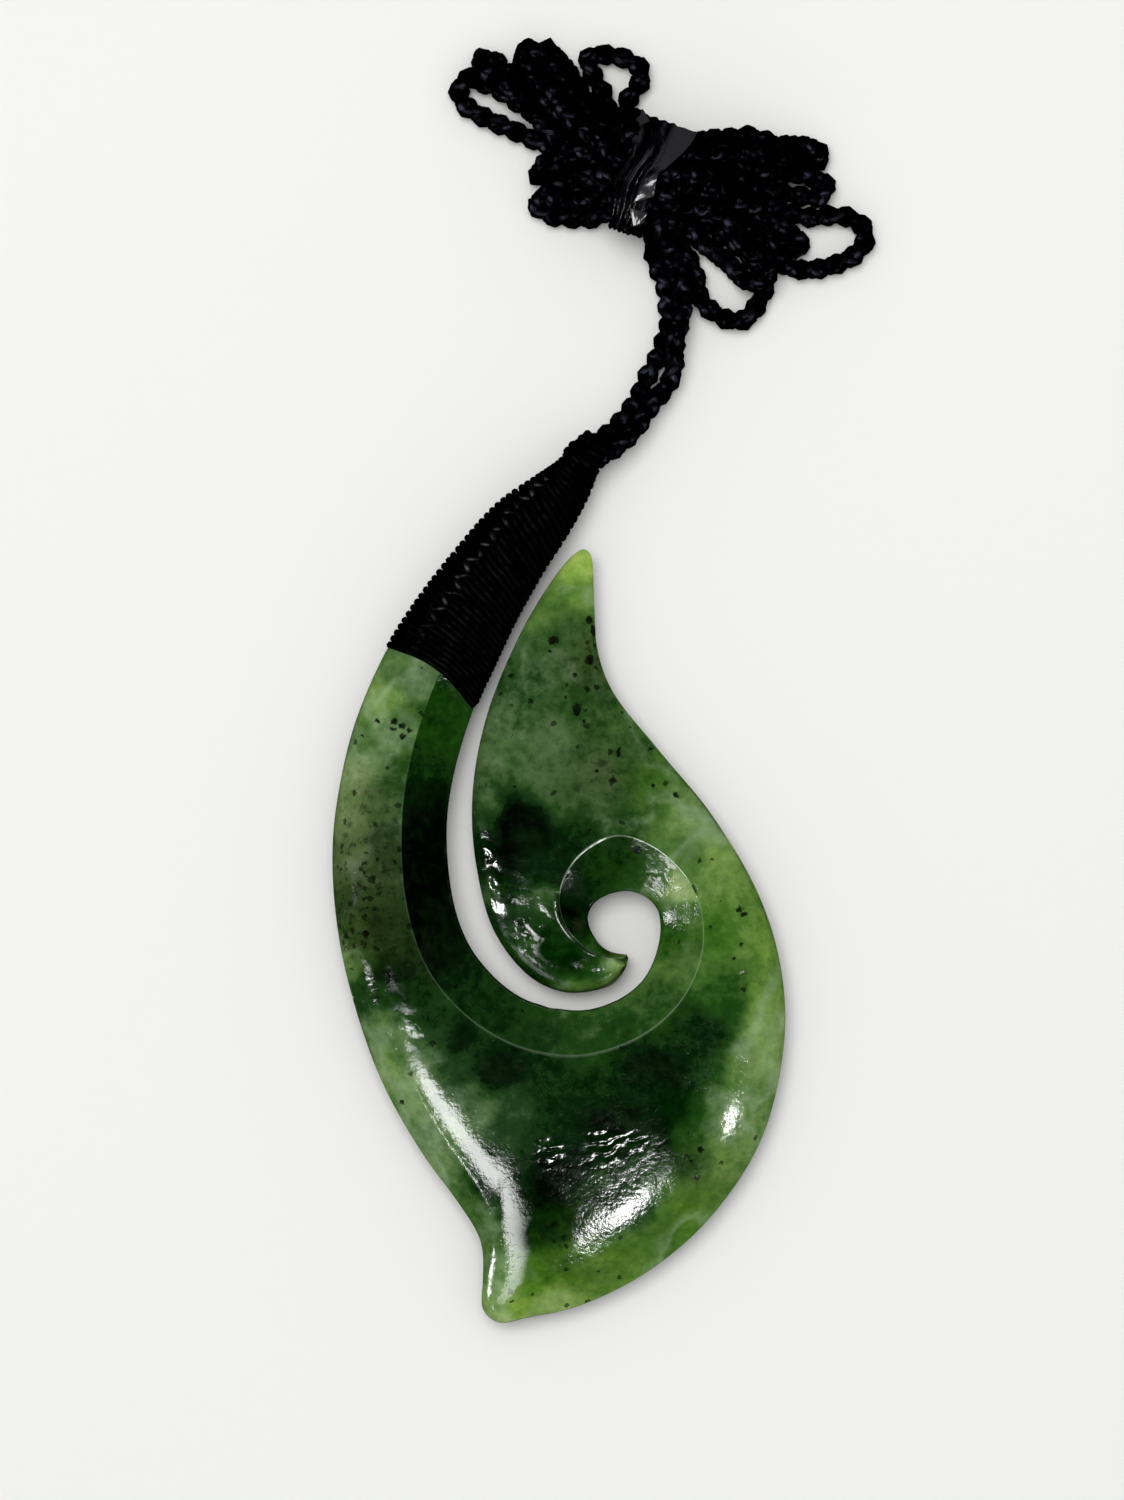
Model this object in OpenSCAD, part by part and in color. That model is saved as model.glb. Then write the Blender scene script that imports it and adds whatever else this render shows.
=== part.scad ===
// Hei matau: a carved greenstone fish hook with a bound head, on a braided neck cord
// that is folded into a tied hank. Lengths are in millimetres.
// The hook lies on its back, with its face up along +Z and its head towards +Y.

/* [Greenstone hook] */
// Width of the hook, across the bowl
hook_w = 43; // [36:0.5:54]
// Height of the hook, from its lower tip to the shoulder of its head
hook_h = 81; // [70:0.5:100]
// Thickness of the stone at the bowl
stone_t = 6.6; // [5.4:0.1:9]
// Width of the bevel between the inner edge and the ridge
bevel_w = 4.6; // [3.4:0.1:5.4]
// Width of the rounding along the outer edge of the face
face_round = 7; // [4:0.5:10]
// Width of the rounding along the outer edge of the back
back_round = 5; // [3:0.5:8]

/* [Binding] */
// Diameter of the waxed thread
thread_d = 0.76; // [0.5:0.02:1]
// Height that the thread stands above the stone beside it
thread_proud = 0.3; // [0.1:0.05:0.4]
// Clearance between the thread and the stone
lash_gap = 0.12; // [0.1:0.01:0.2]

/* [Neck cord] */
// Diameter of the braided cord
cord_d = 2; // [1.4:0.1:2]
// Length of the hank, from loop end to loop end
hank_l = 43; // [40:0.5:50]
// Width of the hank, across its widest loops
hank_w = 22; // [20:0.5:26]
// Height of the hank at its waist
hank_h = 8.6; // [6:0.1:10]

/* [Tie] */
// Width of the film, along the hank
tie_w = 4; // [3:0.1:4.4]
// Thickness of the folded film
film_t = 0.5; // [0.3:0.05:0.8]
// Depth of the film's pleats
pleat = 0.35; // [0.1:0.05:0.5]
// Clearance between the film and the cord
tie_gap = 0.15; // [0.1:0.05:0.3]

/* [Hidden] */

// The hook is a strip that starts at the tip of the koru, winds clockwise round the koru's eye, fans
// out over the barb, runs down the right side, round the bowl and up the shank to the bound head.
// Columns: x and y of the inner edge, x and y of the outer edge, distance of the ridge from the
// inner edge, height. They are shares of hook_w, hook_h, bevel_w and stone_t.
IN = 0;
OUT = 2;
RIDGE = 4;
HIGH = 5;
HOOK = [
    [0.151, 0.432, 0.155, 0.428, 0.03, 0.42],
    [0.133, 0.433, 0.148, 0.416, 0.08, 0.46],
    [0.112, 0.436, 0.123, 0.399, 0.16, 0.5],
    [0.093, 0.443, 0.079, 0.39, 0.24, 0.54],
    [0.078, 0.454, 0.014, 0.388, 0.3, 0.6],
    [0.067, 0.467, -0.06, 0.405, 0.4, 0.66],
    [0.065, 0.478, -0.14, 0.457, 0.53, 0.7],
    [0.072, 0.488, -0.181, 0.533, 0.73, 0.74],
    [0.079, 0.493, -0.191, 0.617, 0.84, 0.78],
    [0.086, 0.496, -0.16, 0.711, 0.96, 0.8],
    [0.093, 0.499, -0.084, 0.81, 1.07, 0.82],
    [0.098, 0.5, -0.005, 0.879, 1.12, 0.82],
    [0.1, 0.501, 0.037, 0.904, 1.15, 0.82],
    [0.102, 0.501, 0.056, 0.909, 1.16, 0.82],
    [0.105, 0.502, 0.071, 0.902, 1.17, 0.82],
    [0.109, 0.503, 0.077, 0.864, 1.18, 0.82],
    [0.13, 0.506, 0.083, 0.798, 1.2, 0.84],
    [0.156, 0.507, 0.114, 0.746, 1.2, 0.86],
    [0.193, 0.5, 0.223, 0.672, 1.1, 0.88],
    [0.219, 0.485, 0.34, 0.596, 0.96, 0.9],
    [0.226, 0.468, 0.44, 0.506, 0.88, 0.93],
    [0.223, 0.447, 0.49, 0.423, 0.9, 0.97],
    [0.209, 0.422, 0.5, 0.333, 0.88, 1],
    [0.186, 0.401, 0.45, 0.217, 0.85, 1],
    [0.149, 0.384, 0.335, 0.123, 0.85, 1],
    [0.107, 0.373, 0.195, 0.059, 0.86, 1],
    [0.067, 0.367, 0.047, 0.02, 0.88, 1],
    [0.035, 0.366, -0.065, 0.006, 0.9, 1],
    [0.014, 0.367, -0.133, 0, 0.9, 1],
    [0, 0.368, -0.167, 0.015, 0.9, 1],
    [-0.019, 0.369, -0.167, 0.054, 0.9, 1],
    [-0.042, 0.373, -0.17, 0.095, 0.91, 1],
    [-0.07, 0.378, -0.216, 0.136, 0.91, 1],
    [-0.109, 0.39, -0.302, 0.199, 0.92, 1],
    [-0.153, 0.411, -0.391, 0.283, 0.95, 1],
    [-0.195, 0.44, -0.451, 0.373, 0.97, 1],
    [-0.226, 0.479, -0.491, 0.47, 0.97, 1],
    [-0.244, 0.531, -0.5, 0.562, 0.98, 0.96],
    [-0.247, 0.593, -0.481, 0.641, 0.96, 0.9],
    [-0.228, 0.654, -0.447, 0.71, 0.96, 0.84],
    [-0.188, 0.722, -0.381, 0.79, 0.95, 0.8],
    [-0.147, 0.77, -0.314, 0.847, 0.9, 0.78],
    [-0.098, 0.825, -0.228, 0.906, 0.8, 0.76],
    [-0.037, 0.883, -0.133, 0.962, 0.7, 0.74],
    [0.021, 0.931, -0.047, 0.994, 0.6, 0.72],
    [0.064, 0.974, 0, 1.011, 0.5, 0.7],
    [0.081, 1, 0.028, 1.028, 0.45, 0.68],
];

// Places along the strip, counted in rows of HOOK
LASH_START = 40;
STONE_END = 45.2;
LASH_END = 46;
// Longest step between two sections, and the steps of the bound stretch
STEP = 2;
BOUND_STEPS = 14;
// Shares of the height: the widest line of the outer edge, and the top and foot of the inner wall
MID = 0.42;
WALL_TOP = 0.58;
WALL_FOOT = 0.2;
// Share of a lost height by which the back rises from the surface
BACK_RISE = 0.35;
// Section width at which the face falls by half from the ridge to the outer edge
HALF_FALL = 24;
// Number of steps over the face and round the outer edge of the back
FACE_STEPS = 8;
BACK_STEPS = 4;

// Point of one edge in a row of HOOK; rows past either end repeat the last one
function row(i) = HOOK[max(0, min(len(HOOK) - 1, i))];
function edge_point(i, c) = [row(i)[c] * hook_w, row(i)[c + 1] * hook_h];

// Centripetal Catmull-Rom curve through four points, at share f of its middle span
function knot(a, b) = sqrt(max(norm(b - a), 0.001));
function curve(p0, p1, p2, p3, f) =
    let (t1 = knot(p0, p1), t2 = t1 + knot(p1, p2), t3 = t2 + knot(p2, p3), t = t1 + (t2 - t1) * f,
         a1 = ((t1 - t) * p0 + t * p1) / t1,
         a2 = ((t2 - t) * p1 + (t - t1) * p2) / (t2 - t1),
         a3 = ((t3 - t) * p2 + (t - t2) * p3) / (t3 - t2),
         b1 = ((t2 - t) * a1 + t * a2) / t2,
         b2 = ((t3 - t) * a2 + (t - t1) * a3) / (t3 - t1))
    ((t2 - t) * b1 + (t - t1) * b2) / (t2 - t1);
function edge_at(p, c) =
    let (i = floor(p))
    curve(edge_point(i - 1, c), edge_point(i, c), edge_point(i + 1, c), edge_point(i + 2, c), p - i);
function share_at(p, c) =
    let (i = floor(p), f = p - i)
    row(i)[c] * (1 - f) + row(i + 1)[c] * f;

// Profile of the strip as [distance from the inner edge, height], from the foot of the inner wall up
// the bevel to the ridge, over the face to the outer edge and back underneath. The stone is cut
// back by inset all round.
function profile(w_full, ridge, high, inset) =
    let (w = w_full - 2 * inset,
         t = high * stone_t - 2 * inset,
         foot = (1 - high) * stone_t * BACK_RISE + inset,
         b = min(ridge, 0.6 * w),
         over = min(face_round, 0.6 * (w - b)),
         under = min(back_round, 0.4 * w),
         heel = min(1.6, 0.25 * w),
         mid = foot + MID * t,
         wall = foot + WALL_TOP * t,
         top = foot + t,
         fall = w / (w + HALF_FALL))
    [for (uz = concat(
        [[0, foot + WALL_FOOT * t], [0, wall]],
        [for (s = [0.35, 0.7]) [b * s, wall + (top - wall) * sin(90 * s) * 0.5 + (top - wall) * s * 0.5]],
        [for (k = [0 : FACE_STEPS])
            let (v = sin(90 * k / FACE_STEPS), u = b + (w - b) * v, e = max(0, min((w - u) / over, 1)))
            [u, mid + (top - mid) * (1 - fall * v * v) * sqrt(e * (2 - e))]],
        [for (k = [1 : BACK_STEPS])
            let (e = 1 - cos(90 * k / BACK_STEPS))
            [w - under * e, mid - (mid - foot) * sqrt(e * (2 - e))]],
        [[heel, foot], [heel * 0.3, foot + WALL_FOOT * t * 0.3]]))
        [uz[0] + inset, uz[1]]];

// Section of the strip at place p, as a ring of points
function section(p, inset) =
    let (a = edge_at(p, IN), b = edge_at(p, OUT), w = norm(b - a), d = (b - a) / w)
    [for (q = profile(w, share_at(p, RIDGE) * bevel_w, share_at(p, HIGH), inset))
        [a[0] + d[0] * q[0], a[1] + d[1] * q[0], q[1]]];

// Places of the sections between two rows, no further apart than STEP
function steps(i) =
    ceil(max(norm(edge_point(i + 1, IN) - edge_point(i, IN)),
             norm(edge_point(i + 1, OUT) - edge_point(i, OUT))) / STEP);

// The stone is cut back under the thread, past a short shoulder
shoulder = 0.12;
stone_inset = thread_d - thread_proud + lash_gap;
bound = [for (k = [0 : BOUND_STEPS]) LASH_START + shoulder + (STONE_END - LASH_START - shoulder) * k / BOUND_STEPS];
hook_rings = concat(
    [for (i = [0 : LASH_START - 1]) for (k = [0 : steps(i) - 1]) section(i + k / steps(i), 0)],
    [section(LASH_START, 0)],
    [for (p = bound) section(p, stone_inset)]);

// The sleeve of thread starts past the shoulder and closes over the end of the stone
cap_start = STONE_END + 0.1;
sleeve_rings = concat(
    [section(cap_start, thread_d - thread_proud)],
    [for (k = [BOUND_STEPS : -1 : 0]) section(bound[k], thread_d - thread_proud)],
    [section(bound[0], 0)],
    [for (k = [1 : BOUND_STEPS]) section(bound[k], -thread_proud)],
    [section(LASH_END, -thread_proud)]);

// The origin is the middle of the hook and its binding, on the surface below them
outline = [for (ring = concat(hook_rings, sleeve_rings)) for (q = ring) q];
xs = [for (q = outline) q[0]];
ys = [for (q = outline) q[1]];
centre = [(min(xs) + max(xs)) / 2, (min(ys) + max(ys)) / 2, 0];

// The cord's group is placed from the middle of the sleeve's end face, and its strands start there
end_in = edge_at(LASH_END, IN);
end_out = edge_at(LASH_END, OUT);
exit_point = [(end_in[0] + end_out[0]) / 2, (end_in[1] + end_out[1]) / 2, 0] - centre;
exit_dir = [end_in[1] - end_out[1], end_out[0] - end_in[0], 0] / -norm(end_in - end_out);

// Route of each neck strand from the exit to the hank: x and y from the exit, z above the surface
ROUTE_LEFT = [
    [-0.4, 0.4, 1.95], [0.3, 1.05, 1.85], [1.25, 1.75, 1.65], [2.25, 2.45, 1.4], [3.25, 3.35, 1.2],
    [4.15, 4.55, 1.05], [4.95, 5.85, 1], [5.65, 7.05, 1], [6.25, 8.15, 1], [6.95, 9.45, 1],
    [7.55, 10.85, 1], [8.05, 12.45, 1], [8.45, 14.05, 1], [8.75, 15.35, 1],
];
ROUTE_RIGHT = [
    [0.4, -0.4, 3.75], [1.25, 0.45, 3.7], [2.25, 1.4, 3.5], [3.45, 2.45, 3.25], [4.65, 3.65, 2.95],
    [5.85, 4.85, 2.6], [7.05, 6.05, 2.2], [7.85, 7.05, 1.85], [8.3, 8.15, 1.9], [8.55, 9.45, 2.4],
    [8.75, 10.85, 2.75], [8.95, 12.35, 2.95], [9.1, 13.85, 3.05], [9.15, 14.7, 3.1],
];
ROUTE_SIDES = 8;

// The hank: its waist's place from the exit and its turn, then a row for each station along it.
// Columns: place along the hank, lower edge and upper edge, top, and how far the waist is lifted
// off the surface by the film below it. They are shares of hank_l, hank_w, hank_h and the film.
WAIST = [5.25, 26.85, 0];
HANK_TURN = -19;
HANK = [
    [-0.46, 0.06, 0.11, 0.25, 0],
    [-0.44, 0.03, 0.2, 0.42, 0],
    [-0.37, -0.02, 0.31, 0.52, 0],
    [-0.3, -0.03, 0.43, 0.54, 0],
    [-0.23, -0.15, 0.42, 0.56, 0],
    [-0.19, -0.31, 0.48, 0.6, 0],
    [-0.12, -0.315, 0.505, 0.66, 0],
    [-0.08, -0.27, 0.5, 0.8, 0],
    [-0.06, -0.25, 0.47, 0.9, 0.5],
    [-0.048, -0.235, 0.24, 0.97, 1],
    [-0.04, -0.235, 0.205, 1, 1],
    [0.075, -0.235, 0.205, 1, 1],
    [0.1, -0.33, 0.24, 0.9, 0.5],
    [0.16, -0.41, 0.31, 0.75, 0],
    [0.23, -0.48, 0.345, 0.62, 0],
    [0.31, -0.5, 0.385, 0.58, 0],
    [0.34, -0.44, 0.405, 0.56, 0],
    [0.37, -0.27, 0.385, 0.55, 0],
    [0.4, -0.2, 0.32, 0.54, 0],
    [0.44, -0.165, 0.235, 0.5, 0],
    [0.51, -0.09, 0.17, 0.42, 0],
    [0.54, 0.02, 0.08, 0.25, 0],
];
WAIST_ROW = 10;
HANK_SIDES = 24;
// How square a section of the hank is: 1 is an ellipse, less is squarer
SQUARE = 0.55;
// Place of the film's middle along the hank, from the waist's middle
TIE_AT = 0.7;
PLEATS = 9;
TIE_SIDES = 36;

// Ring round the hank between two edges and two heights, in the plane across it
function bulge(v) = sign(v) * pow(abs(v), SQUARE);
function band(x, lo, hi, foot, top, sides) =
    [for (k = [0 : sides - 1])
        let (a = -360 * k / sides)
        [x, (lo + hi) / 2 + (hi - lo) / 2 * bulge(cos(a)), (foot + top) / 2 + (top - foot) / 2 * bulge(sin(a))]];
waist_lo = HANK[WAIST_ROW][1] * hank_w;
waist_hi = HANK[WAIST_ROW][2] * hank_w;
waist_foot = film_t + tie_gap;
hank_rings = [for (h = HANK)
    band(h[0] * hank_l, h[1] * hank_w, h[2] * hank_w, h[4] * waist_foot, h[3] * hank_h, HANK_SIDES)];

// Ring of the film, grown from the waist by out, with pleats that fade towards the surface
function film(x, out, folds) =
    let (ring = band(x, waist_lo - out, waist_hi + out, waist_foot - out, hank_h + out, TIE_SIDES),
         mid = [x, (waist_lo + waist_hi) / 2, (waist_foot + hank_h) / 2])
    [for (k = [0 : TIE_SIDES - 1])
        let (a = -360 * k / TIE_SIDES, fade = max(0, sin(a) * 0.5 + 0.5), v = ring[k] - mid)
        ring[k] + v / norm(v) * folds * fade * (0.5 + 0.5 * cos(PLEATS * a))];
film_rings = concat(
    [for (s = [-0.5, -0.25, 0, 0.25, 0.5]) film(TIE_AT + s * tie_w, tie_gap + film_t, pleat)],
    [for (s = [0.5, 0.25, 0, -0.25, -0.5]) film(TIE_AT + s * tie_w, tie_gap, 0)]);

// Solid through rings of equal counts: capped at both ends, or joined end to start
module loft(rings, joined = false) {
    n = len(rings[0]);
    m = len(rings);
    last = joined ? m - 1 : m - 2;
    sides = [for (r = [0 : last]) for (k = [0 : n - 1])
        let (a = r * n + k, b = r * n + (k + 1) % n,
             c = ((r + 1) % m) * n + (k + 1) % n, d = ((r + 1) % m) * n + k)
        each [[a, b, c], [a, c, d]]];
    caps = joined ? [] : [[for (k = [n - 1 : -1 : 0]) k], [for (k = [0 : n - 1]) (m - 1) * n + k]];
    polyhedron([for (ring = rings) each ring], concat(sides, caps));
}

// Ring of the cord round a route point, across direction d
function cord_ring(q, d) =
    let (side = cross(d, [0, 0, 1]) / norm(cross(d, [0, 0, 1])), up = cross(side, d) / norm(d))
    [for (k = [0 : ROUTE_SIDES - 1])
        let (a = 360 * (k + 0.5) / ROUTE_SIDES, r = cord_d / 2)
        q + side * r * cos(a) + up * r * sin(a)];
// The first ring lies in the sleeve's end face
function cord_rings(route) =
    [for (i = [0 : len(route) - 1])
        i == 0 ? cord_ring(route[0] - exit_dir * (route[0] * exit_dir), exit_dir)
               : cord_ring(route[i], route[min(i + 1, len(route) - 1)] - route[i - 1])];

module jade_hook() {
    color("#3E6B34")
    translate(-centre)
    loft(hook_rings);
}

module lashing() {
    color("#15141A")
    translate(-centre)
    loft(sleeve_rings);
}

module cord_left() {
    color("#101014")
    translate(exit_point)
    loft(cord_rings(ROUTE_LEFT));
}

module cord_right() {
    color("#101014")
    translate(exit_point)
    loft(cord_rings(ROUTE_RIGHT));
}

module on_hank() {
    translate(exit_point + WAIST)
    rotate(HANK_TURN)
    children();
}

module cord_hank() {
    color("#17171C")
    on_hank()
    loft(hank_rings);
}

module hank_tie() {
    color("#3A3A42")
    on_hank()
    loft(film_rings, joined = true);
}

jade_hook();
lashing();
cord_left();
cord_right();
cord_hank();
hank_tie();
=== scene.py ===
"""Hei matau: a greenstone fish-hook pendant with a thread-bound head, on a braided neck cord tied in a hank.

Shapes are worked out in millimetres, in the frame of the CAD parts, and put into meshes in metres.
"""
import math

import bpy
import numpy as np
from mathutils import Matrix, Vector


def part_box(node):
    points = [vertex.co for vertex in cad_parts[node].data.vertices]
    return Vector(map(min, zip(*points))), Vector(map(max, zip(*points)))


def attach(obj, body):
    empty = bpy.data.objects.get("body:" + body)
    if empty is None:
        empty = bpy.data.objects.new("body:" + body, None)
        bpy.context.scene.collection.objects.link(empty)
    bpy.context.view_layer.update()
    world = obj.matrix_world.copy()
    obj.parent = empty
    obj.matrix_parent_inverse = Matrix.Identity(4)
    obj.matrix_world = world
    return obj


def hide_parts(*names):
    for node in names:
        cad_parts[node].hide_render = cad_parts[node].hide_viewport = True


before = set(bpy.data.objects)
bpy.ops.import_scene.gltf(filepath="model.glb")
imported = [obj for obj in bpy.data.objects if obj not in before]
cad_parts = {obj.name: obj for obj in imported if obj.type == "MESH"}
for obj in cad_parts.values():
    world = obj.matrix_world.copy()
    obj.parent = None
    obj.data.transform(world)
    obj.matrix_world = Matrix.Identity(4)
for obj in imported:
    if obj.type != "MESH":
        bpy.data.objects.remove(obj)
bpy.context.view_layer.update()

MM = 0.001

# Driving sizes, as in the CAD parts
HOOK_W = 43.0
HOOK_H = 81.0
STONE_T = 6.6
BEVEL_W = 4.6
FACE_ROUND = 7.0
BACK_ROUND = 5.0
HEEL = 1.6
THREAD_D = 0.76
THREAD_PROUD = 0.3
LASH_GAP = 0.12
CORD_D = 2.0
HANK_H = 8.6
FILM_T = 0.5
TIE_GAP = 0.15

# The hook as a strip that winds round the koru's eye, out over the barb, round the bowl and up the
# shank. Columns: x and y of the inner edge, x and y of the outer edge, ridge, height, as shares of
# HOOK_W, HOOK_H, BEVEL_W and STONE_T.
HOOK = np.array([
    [0.151, 0.432, 0.155, 0.428, 0.03, 0.42],
    [0.133, 0.433, 0.148, 0.416, 0.08, 0.46],
    [0.112, 0.436, 0.123, 0.399, 0.16, 0.5],
    [0.093, 0.443, 0.079, 0.39, 0.24, 0.54],
    [0.078, 0.454, 0.014, 0.388, 0.3, 0.6],
    [0.067, 0.467, -0.06, 0.405, 0.4, 0.66],
    [0.065, 0.478, -0.14, 0.457, 0.53, 0.7],
    [0.072, 0.488, -0.181, 0.533, 0.73, 0.74],
    [0.079, 0.493, -0.191, 0.617, 0.84, 0.78],
    [0.086, 0.496, -0.16, 0.711, 0.96, 0.8],
    [0.093, 0.499, -0.084, 0.81, 1.07, 0.82],
    [0.098, 0.5, -0.005, 0.879, 1.12, 0.82],
    [0.1, 0.501, 0.037, 0.904, 1.15, 0.82],
    [0.102, 0.501, 0.056, 0.909, 1.16, 0.82],
    [0.105, 0.502, 0.071, 0.902, 1.17, 0.82],
    [0.109, 0.503, 0.077, 0.864, 1.18, 0.82],
    [0.13, 0.506, 0.083, 0.798, 1.2, 0.84],
    [0.156, 0.507, 0.114, 0.746, 1.2, 0.86],
    [0.193, 0.5, 0.223, 0.672, 1.1, 0.88],
    [0.219, 0.485, 0.34, 0.596, 0.96, 0.9],
    [0.226, 0.468, 0.44, 0.506, 0.88, 0.93],
    [0.223, 0.447, 0.49, 0.423, 0.9, 0.97],
    [0.209, 0.422, 0.5, 0.333, 0.88, 1],
    [0.186, 0.401, 0.45, 0.217, 0.85, 1],
    [0.149, 0.384, 0.335, 0.123, 0.85, 1],
    [0.107, 0.373, 0.195, 0.059, 0.86, 1],
    [0.067, 0.367, 0.047, 0.02, 0.88, 1],
    [0.035, 0.366, -0.065, 0.006, 0.9, 1],
    [0.014, 0.367, -0.133, 0, 0.9, 1],
    [0, 0.368, -0.167, 0.015, 0.9, 1],
    [-0.019, 0.369, -0.167, 0.054, 0.9, 1],
    [-0.042, 0.373, -0.17, 0.095, 0.91, 1],
    [-0.07, 0.378, -0.216, 0.136, 0.91, 1],
    [-0.109, 0.39, -0.302, 0.199, 0.92, 1],
    [-0.153, 0.411, -0.391, 0.283, 0.95, 1],
    [-0.195, 0.44, -0.451, 0.373, 0.97, 1],
    [-0.226, 0.479, -0.491, 0.47, 0.97, 1],
    [-0.244, 0.531, -0.5, 0.562, 0.98, 0.96],
    [-0.247, 0.593, -0.481, 0.641, 0.96, 0.9],
    [-0.228, 0.654, -0.447, 0.71, 0.96, 0.84],
    [-0.188, 0.722, -0.381, 0.79, 0.95, 0.8],
    [-0.147, 0.77, -0.314, 0.847, 0.9, 0.78],
    [-0.098, 0.825, -0.228, 0.906, 0.8, 0.76],
    [-0.037, 0.883, -0.133, 0.962, 0.7, 0.74],
    [0.021, 0.931, -0.047, 0.994, 0.6, 0.72],
    [0.064, 0.974, 0, 1.011, 0.5, 0.7],
    [0.081, 1, 0.028, 1.028, 0.45, 0.68],
])
# Columns of HOOK, and the rows where the binding starts, the stone's head ends and the binding ends
IN, OUT, RIDGE, HIGH = 0, 2, 4, 5
LASH_START = 40.0
STONE_END = 45.2
LASH_END = 46.0
# Heights in the profile, as shares of the stone's thickness there: where face and back meet, the ridge,
# and the foot of the inner wall. BACK_RISE is how much of a thinner part's lack is under it.
MID = 0.42
WALL_TOP = 0.58
WALL_FOOT = 0.2
BACK_RISE = 0.35
# Width in mm at which the face falls by half from ridge to edge
HALF_FALL = 24.0
# Width in mm of the facet along parts of the outer edge, and its strength from row to row of HOOK
FACET = 3.2
FACET_ROWS = ([23.3, 24.3, 25.8, 26.8, 31.0, 32.0, 33.6, 34.6], [0, 1, 1, 0, 0, 1, 1, 0])
# Where the face is rounded more tightly than FACE_ROUND, and its share of it
TIGHTER_ROWS = ([28, 30, 32.5, 34, 35, 37], [1, 0.8, 0.8, 0.64, 0.85, 1])
# A short plain rim at the lower left: its width in mm, its slope and its strength from row to row
RIM_W = 1.7
RIM_SLOPE = 0.7
RIM_ROWS = ([34.5, 34.9, 35.6, 36.0], [0, 1, 1, 0])
# How far the thread's first turn is drawn up over the face, in mm
LASH_BULGE = 1.1
# Length of a row of HOOK at the binding, in mm
ROW = 4.2
# Steps over the bevel, the face, the round of the back and all of the underside, for each of fineness
BEVEL_COLS, FACE_COLS, BACK_COLS, UNDER_COLS = 3, 8, 4, 7


# Making meshes

def mesh_object(name, verts_mm, faces):
    """A smooth mesh object from points in millimetres and an integer array of quads or triangles."""
    mesh = bpy.data.meshes.new(name)
    faces = np.asarray(faces, dtype=np.int32)
    sides = faces.shape[1]
    mesh.vertices.add(len(verts_mm))
    mesh.vertices.foreach_set("co", (np.asarray(verts_mm, dtype=np.float64) * MM).ravel())
    mesh.loops.add(faces.size)
    mesh.loops.foreach_set("vertex_index", faces.ravel())
    mesh.polygons.add(len(faces))
    mesh.polygons.foreach_set("loop_start", np.arange(0, faces.size, sides, dtype=np.int32))
    mesh.update(calc_edges=True)
    mesh.validate()
    mesh.shade_smooth()
    obj = bpy.data.objects.new(name, mesh)
    bpy.context.scene.collection.objects.link(obj)
    return obj


def attribute(obj, name, values):
    """One number or three per vertex, for the material to read."""
    values = np.asarray(values, dtype=np.float32)
    kind, key = ("FLOAT_VECTOR", "vector") if values.ndim == 2 else ("FLOAT", "value")
    obj.data.attributes.new(name, kind, "POINT").data.foreach_set(key, values.ravel())


def grid_faces(rows, cols, wrap_rows=False, wrap_cols=True):
    """Quads of a grid of points, numbered row by row, that may join end to start both ways."""
    r = np.arange(rows if wrap_rows else rows - 1)[:, None]
    c = np.arange(cols if wrap_cols else cols - 1)[None, :]
    r2, c2 = (r + 1) % rows, (c + 1) % cols
    return np.stack([r * cols + c, r * cols + c2, r2 * cols + c2, r2 * cols + c], axis=-1).reshape(-1, 4)


def triangles(quads):
    """Two triangles for each quad."""
    return np.concatenate([quads[:, [0, 1, 2]], quads[:, [0, 2, 3]]])


def capped(rings):
    """Points and triangles of a loft of closed rings, with a fan of triangles over each end."""
    rows, cols = rings.shape[:2]
    first, last = np.arange(cols), (rows - 1) * cols + np.arange(cols)
    hub = np.full(cols, rows * cols)
    fans = [np.stack([np.roll(first, -1), first, hub], axis=-1),
            np.stack([last, np.roll(last, -1), hub + 1], axis=-1)]
    return (np.concatenate([rings.reshape(-1, 3), rings[:1].mean(axis=1), rings[-1:].mean(axis=1)]),
            np.concatenate([triangles(grid_faces(rows, cols))] + fans))


def joined(parts):
    """Points and triangles of several bodies as one."""
    verts, faces, count = [], [], 0
    for v, f in parts:
        verts.append(v)
        faces.append(f + count)
        count += len(v)
    return np.concatenate(verts), np.concatenate(faces)


def unit(v):
    """Vectors at length 1."""
    return v / np.maximum(np.linalg.norm(v, axis=-1, keepdims=True), 1e-9)


def noise(x, y, cell, seed):
    """Smooth value noise between -1 and 1: random corners of a lattice of the given cell, eased between."""
    lattice = np.random.default_rng(seed).uniform(-1, 1, (64, 64))
    gx, gy = x / cell + 32, y / cell + 32
    ix, iy = np.floor(gx).astype(int), np.floor(gy).astype(int)
    fx, fy = gx - ix, gy - iy
    fx, fy = fx * fx * (3 - 2 * fx), fy * fy * (3 - 2 * fy)
    at = lambda i, j: lattice[i % 64, j % 64]
    low = at(ix, iy) * (1 - fx) + at(ix + 1, iy) * fx
    top = at(ix, iy + 1) * (1 - fx) + at(ix + 1, iy + 1) * fx
    return low * (1 - fy) + top * fy


# Curves

def run_along(points):
    """Length along a curve up to each of its points."""
    return np.concatenate([[0], np.cumsum(np.linalg.norm(np.diff(points, axis=0), axis=1))])


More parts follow.
